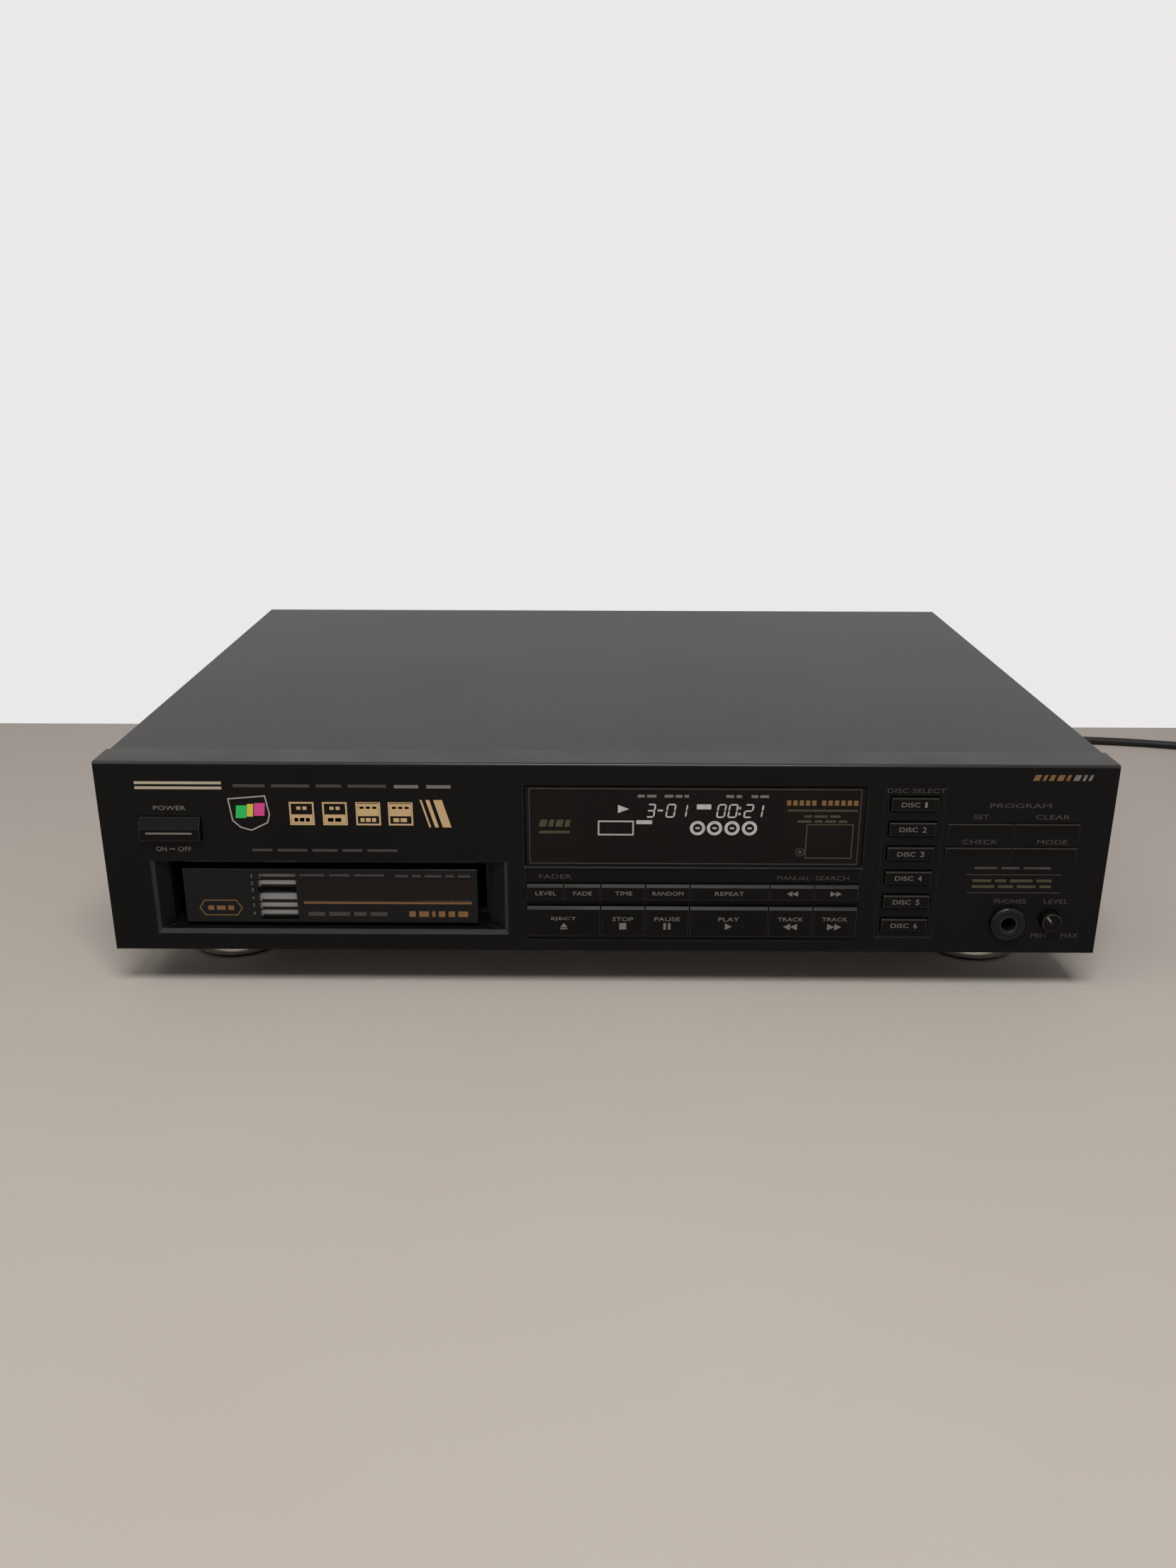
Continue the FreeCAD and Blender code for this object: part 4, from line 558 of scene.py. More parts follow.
@dataclass(frozen=True)
class Rings(Finish):
    """A pressed disc: bands of clear and mirrored plastic about its centre, by their radii."""

    centre: Place
    clear: str
    mirror: str
    sheen: str
    roughness: float = 0.08
    reach_mm: float = 60.0
    bands_mm: tuple[float, float, float, float] = (16.5, 17.5, 22.5, 58.5)

    def wire(self, tree: bpy.types.NodeTree, place: bpy.types.NodeSocket) -> dict:
        """The distance from the centre picks the band, and a slow wave tints the mirror.

        Args:
            tree: the material's node tree.
            place: the output that gives the place on the object.

        Returns:
            For each input of the shader, a value or the output that feeds it.
        """
        middle = tuple(value * METRES for value in self.centre)
        around = add_node(tree, "VectorMath", {"operation": "SUBTRACT"}, {0: place, 1: middle})
        flat = add_node(tree, "VectorMath", {"operation": "MULTIPLY"}, {
            0: around.outputs[0], 1: (1.0, 1.0, 0.0)})
        radius = add_node(tree, "VectorMath", {"operation": "LENGTH"}, {0: flat.outputs[0]})
        share = add_node(tree, "MapRange", sockets={
            "Value": radius.outputs["Value"], "From Max": self.reach_mm * METRES})
        bands = add_node(tree, "ValToRGB", {}, {"Fac": share.outputs[0]})
        bands.color_ramp.interpolation = "CONSTANT"
        stops = bands.color_ramp.elements
        stops.remove(stops[1])
        stops[0].color = (0.0, 0.0, 0.0, 1.0)
        for radius_mm, value in zip(self.bands_mm, (1.0, 0.0, 1.0, 0.0)):
            stops.new(radius_mm / self.reach_mm).color = (value, value, value, 1.0)
        wave = add_node(tree, "TexGradient", {"gradient_type": "RADIAL"}, {
            "Vector": around.outputs[0]})
        turns = add_node(tree, "Math", {"operation": "PINGPONG"}, {
            0: wave.outputs["Fac"], 1: 0.125})
        tint = add_node(tree, "MapRange", sockets={
            "Value": turns.outputs[0], "From Max": 0.125, "To Max": 0.35})
        mirror = add_node(tree, "Mix", {"data_type": "RGBA"}, {
            0: tint.outputs[0], 6: linear(self.mirror), 7: linear(self.sheen)})
        tone = add_node(tree, "Mix", {"data_type": "RGBA"}, {
            0: bands.outputs[0], 6: linear(self.clear), 7: mirror.outputs[2]})
        return {"Roughness": self.roughness, "Metallic": bands.outputs[0],
                "Base Color": tone.outputs[2]}


@dataclass(frozen=True)
class Board(Finish):
    """Phenolic circuit board with tracks, and the dark parts that stand on it."""

    axis: int
    limits_mm: tuple[float, float]
    resin: str = "#6e5229"
    track: str = "#57622e"
    part: str = "#1a1a1c"
    roughness: float = 0.45
    brick_mm: float = 14.0

    def wire(self, tree: bpy.types.NodeTree, place: bpy.types.NodeSocket) -> dict:
        """Bricks draw the tracks; outside the board's two faces the parts' dark plastic shows.

        Args:
            tree: the material's node tree.
            place: the output that gives the place on the object.

        Returns:
            For each input of the shader, a value or the output that feeds it.
        """
        turn = add_node(tree, "Mapping", sockets={
            "Vector": place, "Rotation": (0.0 if self.axis == 2 else math.pi / 2, 0.0, 0.0)})
        tracks = add_node(tree, "TexBrick", sockets={
            "Vector": turn.outputs[0], "Scale": per_metre(self.brick_mm), "Mortar Size": 0.12,
            "Color1": linear(self.resin), "Color2": linear(self.resin),
            "Mortar": linear(self.track)})
        parts = add_node(tree, "SeparateXYZ", sockets={"Vector": place})
        inside = add_node(tree, "Math", {"operation": "COMPARE"}, {
            0: parts.outputs[self.axis], 1: sum(self.limits_mm) / 2 * METRES,
            2: (self.limits_mm[1] - self.limits_mm[0]) * 0.55 * METRES})
        tone = add_node(tree, "Mix", {"data_type": "RGBA"}, {
            0: inside.outputs[0], 6: linear(self.part), 7: tracks.outputs["Color"]})
        return {"Roughness": self.roughness, "Base Color": tone.outputs[2]}


@dataclass(frozen=True)
class Laminated(Finish):
    """A stack of varnished steel sheets: lines across it, coarser than the real sheets."""

    colour: str
    joint: str
    roughness: float = 0.4
    wave_mm: float = 1.0
    relief_mm: float = 0.05

    def wire(self, tree: bpy.types.NodeTree, place: bpy.types.NodeSocket) -> dict:
        """A wave along the depth draws the joints, one in each 2 pi times the wave's size.

        Args:
            tree: the material's node tree.
            place: the output that gives the place on the object.

        Returns:
            For each input of the shader, a value or the output that feeds it.
        """
        sheets = add_node(tree, "TexWave", {"bands_direction": "Y"}, {
            "Vector": place, "Scale": per_metre(self.wave_mm) / WAVE_TURN})
        tone = add_node(tree, "Mix", {"data_type": "RGBA"}, {
            0: sheets.outputs[1], 6: linear(self.colour), 7: linear(self.joint)})
        bump = add_node(tree, "Bump", sockets={
            "Distance": self.relief_mm * METRES, "Height": sheets.outputs[1]})
        return {"Roughness": self.roughness, "Base Color": tone.outputs[2],
                "Normal": bump.outputs[0]}


# Sprayed ABS: satin black, hardly any sheen from the front; a paler colour is painted along its
# edges as a highlight and on its upward faces at the top as a sheen.
PANEL_PAINT = Moulded("satin_black_abs", "#100f0f", "#131212", 0.38, specular=0.1, edge_mm=0.6,
                      edge_highlight="#2c2d30", top_sheen="#42403e")
# The panel's long round edge, polished by hands, its colour painted paler than the panel's as a
# highlight.
EDGE_HIGHLIGHT = Moulded("glossy_abs_edge_highlight", "#1d1c1c", "#242323", 0.2, specular=0.3, edge_mm=0.1)
# The narrow bevel round the mouth, bare of paint and glossy.
MOUTH_BEVEL = Moulded("polished_abs_bevel", "#121316", "#16171a", 0.18, specular=0.5, edge_mm=0.1)
# Powder painted sheet steel: an even eggshell that turns pale at a flat angle.
COVER_PAINT = Moulded("black_painted_steel", "#171616", "#191818", 0.45, specular=0.36,
                      grain_mm=0.8, relief_mm=0.004, cloud_mm=90.0, spread=0.012, edge_mm=0.5)
# Electroplated zinc on cold rolled sheet: bluish grey with faint crystals.
ZINC = Metal("zinc_plated_steel", "#b4b8ba", "#9a9fa1", 0.32)
# Cast acrylic tinted smoke brown, polished and coated against glare: it reflects little.
SMOKED = Clear("cast_smoked_acrylic", "#76645f", 0.02, 1.27)
# Soda glass of the display tube: smooth, and dark red where nothing is lit.
TUBE_GLASS = Moulded("dark_tube_glass", "#481a1f", "#562226", 0.12, specular=0.2, relief_mm=0.0005)
# Key board seen from the rear, and the main board seen from above.
KEY_BOARD = Board("phenolic_key_board", 1, (-134.6, -133.0))
MAIN_BOARD = Board("phenolic_main_board", 2, (28.0, 29.6))
# Varnished core of the transformer: dull grey with dark joints.
CORE = Laminated("varnished_core_steel", "#4a4846", "#2a2826")
# Moulded nylon bodies of the sockets.
SOCKET = Moulded("black_nylon", "#121214", "#1a1a1d", 0.35)
# Moulded ABS key caps, smoother than the panel, with a paler colour painted along their edges as a
# highlight.
KEY_CAP = Moulded("key_cap_abs", "#0d0d0d", "#111010", 0.32, specular=0.1, edge_mm=0.4,
                  edge_highlight="#565044")
# Polished polystyrene shell of the magazine, with a paler colour painted along its edges as a
# highlight.
MAGAZINE = Moulded("glossy_polystyrene", "#101012", "#141416", 0.16, specular=0.2, spread=0.03,
                   edge_highlight="#2a2a2c")
# Grey moulded trays.
TRAY = Moulded("grey_moulded_abs", "#868684", "#92928f", 0.45, specular=0.3, grain_mm=0.7)
# Pressed disc: a pale mirror with a faint violet sheen, between clear rings.
DISC = Rings("pressed_polycarbonate", (-116.65, 29.0, 0.0), "#b9bec4", "#dfe1e6", "#b8a8d8")
# Glass filled nylon of the drive: dull dark grey, a little coarse.
DRIVE = Moulded("glass_filled_nylon", "#1f1f21", "#2a2a2c", 0.5, grain_mm=1.0, relief_mm=0.01)
# Steel of the motor and the rods, left bare: pale and bright.
MOTOR_CAN = Metal("drawn_motor_can", "#c2c2bf", "#a6a6a3", 0.25)
ROD = Metal("ground_steel_rod", "#cfcfce", "#bcbcbb", 0.1, scratch_mm=(10.0, 0.2, 0.2))
# Flexible PVC sheath: dull black with a slight drag from the extruder.
SHEATH = Moulded("pvc_sheath", "#14110d", "#1b1814", 0.5, specular=0.3, grain_mm=1.5,
                 relief_mm=0.01)
# Electroplated trim and pins.
NICKEL = Metal("nickel_plate", "#d8d6d0", "#c2c0ba", 0.14)
# Black zinc on the screws: a dark metal that hardly stands out from the paint.
SCREW_ZINC = Metal("black_zinc_screw", "#3a3a3c", "#2a2a2c", 0.35)
# Inks printed on the panel, the window and the magazine.
PALE_INK = Ink("pale_grey_ink", "#86827a", "#6b6760")
DIM_INK = Ink("dim_grey_ink", "#504c47", "#403d3a")
CHAMPAGNE_INK = Ink("champagne_ink", "#c3b7a2", "#a99d88")
BEIGE_INK = Ink("beige_ink", "#d9b98c", "#c6a678")
GOLD_INK = Ink("gold_ink", "#8f6d43", "#735636")
KHAKI_INK = Ink("khaki_ink", "#57503c", "#474131")
DARK_INK = Ink("dark_ink", "#1c1612", "#251d17")
GREEN_INK = Ink("green_sticker_ink", "#35d069", "#2cbb5c")
YELLOW_INK = Ink("yellow_sticker_ink", "#e2d34e", "#cfc045")
PINK_INK = Ink("pink_sticker_ink", "#e8559c", "#d2488a")
SILVER_INK = Ink("silver_sticker_ink", "#b9b4aa", "#9b968d", 0.3)
# Lit phosphor: pale blue green.
GLOW = Phosphor("display_phosphor", "#d2ecef", 3.4)
# Turned collar of the headphone socket, glossier than the panel round it.
SOCKET_LIP = Moulded("polished_nylon_lip", "#090a0d", "#0d0e12", 0.14, specular=0.25, spread=0.03)
# Rings that tell the two output sockets apart.
PALE_RING = Moulded("white_nylon_ring", "#cfccc4", "#bdbab2", 0.4)
RED_RING = Moulded("red_nylon_ring", "#a82a22", "#96251e", 0.4)
# Firmer PVC of bush and plug.
SHEATH_MOULD = Moulded("moulded_pvc", "#16130f", "#1e1a16", 0.5, grain_mm=1.0, relief_mm=0.01)
# Matt paper that the floor is laid with.
PAPER = Moulded("paper_floor", "#c9beb3", "#cfc6bd", 0.75, specular=0.2, grain_mm=2.0,
                relief_mm=0.02, cloud_mm=180.0, edge_mm=0.1)
# Varnished card of the magazine's label.
LABEL_CARD = Ink("brown_label_card", "#191310", "#1e1712", 0.5)


def dress(node: bpy.types.Object, finish: Finish) -> None:
    """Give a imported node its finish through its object's material slots.

    Args:
        node: the node's object.
        finish: what it is made of.
    """
    if not node.material_slots:
        node.data.materials.append(finish.material())
    for slot in node.material_slots:
        slot.material = finish.material()


# ---------------------------------------------------------------- prints


class Symbol(Enum):
    """The marks of the transport keys: their corners, in half heights from their middle."""

    EJECT = (((-1.0, -0.4), (1.0, -0.4), (0.0, 1.0)), bar(-1.0, 1.0, -1.0, -0.65))
    STOP = (bar(-1.0, 1.0, -1.0, 1.0),)
    PAUSE = (bar(-1.0, -0.3, -1.0, 1.0), bar(0.3, 1.0, -1.0, 1.0))
    PLAY = (((-1.0, -1.0), (1.0, 0.0), (-1.0, 1.0)),)
    BACK = (((2.0, -1.0), (0.0, 0.0), (2.0, 1.0)), ((0.0, -1.0), (-2.0, 0.0), (0.0, 1.0)))
    FORWARD = (((-2.0, -1.0), (0.0, 0.0), (-2.0, 1.0)), ((0.0, -1.0), (2.0, 0.0), (0.0, 1.0)))

    def outlines(self, x: float, z: float, high: float) -> list[Outline]:
        """The mark's shapes, of a height, with the mark's middle at (x, z)."""
        return [[(x + u * high / 2, z + v * high / 2) for u, v in shape] for shape in self.value]


def figure(digit: str, left: float, low: float, wide: float, high: float, line: float,
           lean: float) -> list[Outline]:
    """The lit segments of a seven segment figure.

    Args:
        digit: 0, 1, 2 or 3.
        left: its left edge.
        low: its lower edge.
        wide: its width.
        high: its height.
        line: the width of a segment.
        lean: how far each unit of height moves it right.

    Returns:
        One six-cornered outline for each lit segment: its two ends are points, and its sides lie
        half a line on each side of the run between two corners of the figure.
    """
    lit = {"0": "abcdef", "1": "bc", "2": "abged", "3": "abgcd"}[digit]
    near, far, middle = line / 2, wide - line / 2, high / 2
    top = high - line / 2
    runs = {"a": ((near, top), (far, top)), "b": ((far, middle), (far, top)),
            "c": ((far, near), (far, middle)), "d": ((near, near), (far, near)),
            "e": ((near, near), (near, middle)), "f": ((near, middle), (near, top)),
            "g": ((near, middle), (far, middle))}
    outlines = []
    for name in lit:
        start, end = (np.array(point) for point in runs[name])
        along = (end - start) / np.linalg.norm(end - start)
        across = np.array([-along[1], along[0]]) * line / 2
        start, end = start + along * line * SEGMENT_GAP, end - along * line * SEGMENT_GAP
        inner = along * line / 2
        corners = [start, start + inner - across, end - inner - across,
                   end, end - inner + across, start + inner + across]
        outlines.append([(left + u + lean * v, low + v) for u, v in corners])
    return outlines


def front_of(node: str) -> float:
    """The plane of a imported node's foremost face."""
    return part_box(node)[0][1] / METRES


class Mark(Enum):
    """The kinds of printed marks, each named after the method of Print that draws it."""

    SHAPES = "shapes"
    WORD = "word"
    EDGING = "edging"
    DASHES = "dashes"


Row = tuple  # a mark, its ink and whatever else its method asks for


@dataclass
class Print:
    """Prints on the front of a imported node: one piece for each ink, all on one body."""

    name: str
    node: str
    body: str
    slot: str
    raised: float = FILM
    films: dict[Finish, list[Surface]] = field(default_factory=dict)

    @cached_property
    def face_y(self) -> float:
        """The plane that the prints lie on."""
        return front_of(self.node)

    def add(self, ink: Finish, *surfaces: Surface) -> None:
        """Add surfaces to the ink's film."""
        self.films.setdefault(ink, []).extend(surfaces)

    def shapes(self, ink: Finish, *outlines: Outline) -> None:
        """Print filled shapes."""
        self.add(ink, *(prism(outline, self.face_y, self.raised) for outline in outlines))

    def word(self, ink: Finish, text: str, left: float, right: float, low: float,
             high: float) -> None:
        """Print a word between two limits across and two limits up."""
        self.add(ink, lettering(text, ((left + right) / 2, (low + high) / 2), right - left,
                                high - low, self.face_y, self.raised))

    def edging(self, ink: Finish, outer: Outline, line: float) -> None:
        """Print a shape's outline as a line."""
        self.add(ink, frame_outline(outer, line, self.face_y, self.raised))

    def dashes(self, ink: Finish, left: float, right: float, low: float, high: float,
               shares: tuple[float, ...], slant: float = 0.0) -> None:
        """Print a row of dashes that fills a width; between two dashes is a gap of one share.

        Args:
            ink: what it is printed in.
            left: where the first dash starts.
            right: where the last dash ends.
            low: the dashes' lower edge.
            high: the dashes' upper edge.
            shares: the dashes' widths, counted in gaps.
            slant: how far their upper edges are moved right.
        """
        step = (right - left) / (sum(shares) + len(shares) - 1)
        start = left
        for share in shares:
            self.shapes(ink, bar(start, start + share * step, low, high, slant))
            start += (share + 1.0) * step

    def rows(self, *rows: Row) -> None:
        """Print the marks of a table in order.

        Args:
            rows: for each mark its kind, and then what that kind's method asks for.
        """
        draw = {Mark.SHAPES: self.shapes, Mark.WORD: self.word, Mark.EDGING: self.edging,
                Mark.DASHES: self.dashes}
        for mark, *values in rows:
            draw[mark](*values)

    def build(self) -> list[bpy.types.Object]:
        """Make one piece for each ink."""
        return [make_piece(f"{self.name}_{ink.name}", join(films), ink, self.body)
                for ink, films in self.films.items()]


# ---------------------------------------------------------------- sub-assemblies


class Assembly:
    """A sub-assembly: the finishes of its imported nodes, and the pieces that it adds."""

    finishes: ClassVar[dict[str, Finish]] = {}

    def build(self, nodes: dict[str, bpy.types.Object]) -> list[bpy.types.Object]:
        """Dress the nodes and make the new pieces.

        Args:
            nodes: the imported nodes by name.

        Returns:
            The new pieces.
        """
        for name, finish in self.finishes.items():
            dress(nodes[name], finish)
        return self.pieces()

    def pieces(self) -> list[bpy.types.Object]:
        """The new pieces: none, unless the sub-assembly has its own."""
        return []


@dataclass
class Housing(Assembly):
    """Panel, cover, base and rear, with the bright rings of the feet."""

    finishes: ClassVar[dict[str, Finish]] = {
        "front_panel": PANEL_PAINT, "top_cover": COVER_PAINT, "base_chassis": ZINC,
        "rear_panel": COVER_PAINT, "feet": KEY_CAP, "housing_screws": SCREW_ZINC}
    foot_x: float = 171.5
    foot_ys: tuple[float, float] = (-98.0, 104.0)
    ring_radius: float = 22.5
    ring_low: float = 1.6
    ring_profile: Outline = ((-2.0, 0.0), (0.0, 0.0), (0.4, 0.3), (0.6, 0.9), (0.55, 1.8),
                             (0.44, 2.7), (0.3, 3.6), (0.13, 4.5), (0.03, 5.3), (-0.4, 5.5),
                             (-3.2, 5.55), (-3.2, 1.0), (-2.0, 0.0))
    edge_round: float = 1.2
    edge_end: float = 0.3
    edge_angles: tuple[float, float, int] = (8.0, 82.0, 15)
    skin: float = 0.04
    mouth: tuple[float, float, float, float] = (-191.0, -41.0, 27.5, 61.4)
    bevel: tuple[float, float, float, float] = (1.4, 1.9, 1.1, 1.0)  # sides, below, above, depth
    rear_words: tuple[tuple[str, float, float, float], ...] = (
        ("OUTPUT", -70.0, 54.5, 13.0), ("L", -78.0, 47.5, 1.6), ("R", -62.0, 47.5, 1.7),
        ("AC IN", -165.0, 52.5, 10.0))
    rear_word_high: float = 2.4

    def foot_rings(self) -> bpy.types.Object:
        """Bright ring round each foot.

        Returns:
            One piece: for each foot a crowned band, turned from a closed profile.
        """
        profile = [(self.ring_radius + out, self.ring_low + up) for out, up in self.ring_profile]
        rings = [turned(profile, (side * self.foot_x, y, 0.0), steps=96)
                 for side in (-1.0, 1.0) for y in self.foot_ys]
        return make_piece("foot_rings", join(rings), NICKEL, "chassis", True)

    def top_edge(self) -> bpy.types.Object:
        """Glossier skin on the long round edge of the panel, its colour painted paler as a
        highlight.

        Returns:
            One piece, drawn along x. Its cross-section is an arc about the middle of the round:
            y is the middle less the radius times the cosine of the angle, z the middle plus the
            radius times its sine, out on the skin's radius and back on one a little smaller.
        """
        angle = np.radians(np.linspace(*self.edge_angles))
        radii = np.full(len(angle), self.edge_round + self.skin)
        angle, radii = np.append(angle, angle[::-1]), np.append(radii, radii - 2 * self.skin)
        low, high = (np.array(corner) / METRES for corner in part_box("front_panel"))
        y = low[1] + self.edge_round - radii * np.cos(angle)
        z = high[2] - self.edge_round + radii * np.sin(angle)
        ends = [np.column_stack([np.full(len(y), x), y, z])
                for x in (low[0] + self.edge_end, high[0] - self.edge_end)]
        skin = grid(np.stack(ends), around=True)
        skin.faces += [list(range(len(y))), list(range(len(y), 2 * len(y)))]
        return make_piece("panel_top_edge", skin, EDGE_HIGHLIGHT, "chassis", True)

    def mouth_bevel(self) -> bpy.types.Object:
        """Glossy bevel round the mouth.

        Returns:
            One piece: a strip between the mouth's outline on the panel's face and a smaller one
            behind it, and the same strip on the bevel itself.
        """
        left, right, low, high = self.mouth
        side, under, over, deep = self.bevel
        outer = bar(left, right, low, high)
        inner = bar(left + side, right - side, low + under, high - over)
        face_y = front_of("front_panel")
        rings = [np.insert(np.array(ring), 1, face_y + y, axis=1) for ring, y in (
            (outer, 0.0), (outer, -self.skin), (inner, deep - self.skin), (inner, deep),
            (outer, 0.0))]
        return make_piece("mouth_bevel", grid(np.stack(rings), around=True), MOUTH_BEVEL,
                          "chassis")

    def rear_print(self) -> bpy.types.Object:
        """Legends beside the sockets at the rear.

        Returns:
            One piece, drawn for the front and then turned half round the vertical axis.
        """
        films = join([lettering(text, (x, z), wide, self.rear_word_high, 0.0, FILM)
                      for text, x, z, wide in self.rear_words])
        films.points = films.points * np.array([-1.0, -1.0, 1.0])
        films.points[:, 1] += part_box("rear_panel")[1][1] / METRES
        return make_piece("rear_print", films, PALE_INK, "chassis")

    def pieces(self) -> list[bpy.types.Object]:
        """The rings, the panel's two edges and the rear's print."""
        return [self.foot_rings(), self.top_edge(), self.mouth_bevel(), self.rear_print()]


@dataclass
class PanelPrint(Assembly):
    """Everything printed on the face of the front panel."""

    raised: float = 0.06
    first_rows: tuple[Row, ...] = (
        (Mark.SHAPES, CHAMPAGNE_INK, bar(-193.7, -157.9, 95.4, 96.6),
         bar(-193.7, -157.9, 93.2, 94.4)),
        (Mark.DASHES, DIM_INK, -153.2, -90.1, 94.2, 95.5, (5, 6, 4, 6)),
        (Mark.DASHES, DIM_INK, -147.5, -86.8, 65.7, 66.8, (4, 6, 5, 4, 6)),
        (Mark.DASHES, PALE_INK, -86.9, -63.6, 94.0, 95.4, (3, 3)),
        (Mark.DASHES, GOLD_INK, 174.8, 189.6, 98.4, 100.9, (2, 1, 1.5, 2, 1), 0.9),
        (Mark.DASHES, PALE_INK, 191.2, 198.6, 98.4, 100.9, (2, 1, 1), 0.9),
        (Mark.WORD, PALE_INK, "POWER", -187.0, -173.6, 84.0, 85.9),
        (Mark.WORD, PALE_INK, "ON", -187.8, -183.4, 65.6, 67.6),
        (Mark.WORD, PALE_INK, "OFF", -178.6, -173.0, 65.6, 67.6),
        (Mark.SHAPES, PALE_INK, bar(-182.2, -179.9, 66.4, 66.8)))
    words: tuple[tuple[str, float, float, float], ...] = (
        ("FADER", -27.6, -14.0, 53.8), ("MANUAL", 72.6, 86.4, 53.5), ("SEARCH", 88.8, 102.8, 53.5),
        ("DISC SELECT", 115.8, 139.8, 92.8), ("PROGRAM", 158.6, 183.8, 86.4),
        ("SET", 152.4, 158.6, 81.4), ("CLEAR", 178.0, 192.2, 81.4), ("CHECK", 148.8, 163.4, 70.3),
        ("MODE", 179.8, 192.4, 70.3), ("PHONES", 164.9, 178.4, 43.2), ("LEVEL", 186.0, 196.2, 43.2),
        ("MIN", 182.3, 188.7, 27.3), ("MAX", 195.2, 202.4, 27.3))
    word_high: float = 2.0
    last_rows: tuple[Row, ...] = (
        (Mark.DASHES, DIM_INK, 155.0, 187.0, 59.0, 60.0, (5, 4, 6)),
        (Mark.SHAPES, DIM_INK, bar(152.0, 192.0, 56.3, 56.6), bar(153.0, 192.5, 48.0, 48.3)),
        (Mark.DASHES, KHAKI_INK, 154.7, 188.0, 53.1, 54.3, (5, 3, 6, 4)),
        (Mark.DASHES, KHAKI_INK, 154.7, 188.0, 50.4, 51.6, (6, 4, 5, 3)))
    shield: Outline = ((-151.6, 76.3), (-147.0, 74.9), (-139.9, 78.4), (-138.8, 82.2),
                       (-140.2, 90.7), (-156.0, 89.3), (-154.8, 79.4))
    blocks: tuple[tuple[Finish, float, float], ...] = (
        (GREEN_INK, -153.2, 4.4), (YELLOW_INK, -148.6, 2.6), (PINK_INK, -145.6, 4.4))
    block_low: float = 80.6
    block_high: float = 5.6
    block_rise: float = 0.14
    square: float = 10.2
    square_low: float = 77.6
    square_lefts: tuple[float, ...] = (-130.7, -117.0, -103.2, -89.8)
    strokes: tuple[tuple[float, float], ...] = ((-76.6, 0.8), (-74.2, 1.6), (-71.0, 3.6))
    stroke_ends: tuple[float, float] = (76.8, 88.9)
    stroke_lean: float = 3.6

    def sticker(self, sheet: Print) -> None:
        """Silver edged shield with three coloured blocks, each a little higher than the last.

        Args:
            sheet: the panel's print.
        """
        sheet.edging(SILVER_INK, self.shield, 0.55)
        for ink, left, wide in self.blocks:
            low = self.block_low + (left - self.blocks[0][1]) * self.block_rise
            sheet.shapes(ink, bar(left, left + wide, low, low + self.block_high, 0.6))

    def squares(self, sheet: Print) -> None:
        """Four outlined squares, each half light and half dark, with plain blocks in them.

        The light half is the lower one in the first two, and the upper one in the others. The
        numbers are widths and distances from a square's edges.

        Args:
            sheet: the panel's print.
        """
        low, high = self.square_low, self.square_low + self.square
        middle = (low + high) / 2
        for number, left in enumerate(self.square_lefts):
            right, light_low = left + self.square, number < 2
            sheet.edging(BEIGE_INK, bar(left, right, low, high), 0.7)
            light = (low, middle) if light_low else (middle - 1.6, high)
            sheet.shapes(BEIGE_INK, bar(left + 0.6, right - 0.6, light[0] + 0.6, light[1] - 0.4))
            spans = ((2.0, 4.4), (5.0, 7.6)) if number % 2 else ((1.8, 3.4), (4.0, 6.0), (6.6, 8.2))
            for start, end in spans:
                sheet.shapes(DARK_INK if light_low else BEIGE_INK,
                             bar(left + start, left + end, low + 1.5, low + 3.2))
            if light_low:
                sheet.dashes(BEIGE_INK, left + 3.0, right - 3.0, high - 3.4, high - 2.0, (2, 2))
            else:
                sheet.dashes(DARK_INK, left + 1.6, right - 1.6, high - 2.9, high - 1.9, (2, 2, 2))

    def pieces(self) -> list[bpy.types.Object]:
        """Print the whole face.

        Returns:
            One piece for each ink.
        """
        sheet = Print("panel", "front_panel", "chassis", "black_plastic", self.raised)
        sheet.rows(*self.first_rows)
        self.sticker(sheet)
        self.squares(sheet)
        for start, wide in self.strokes:
            left = start + self.stroke_lean
            sheet.shapes(BEIGE_INK, bar(left, left + wide, *self.stroke_ends, -self.stroke_lean))
        for text, left, right, low in self.words:
            sheet.word(DIM_INK, text, left, right, low, low + self.word_high)
        sheet.rows(*self.last_rows)
        return sheet.build()


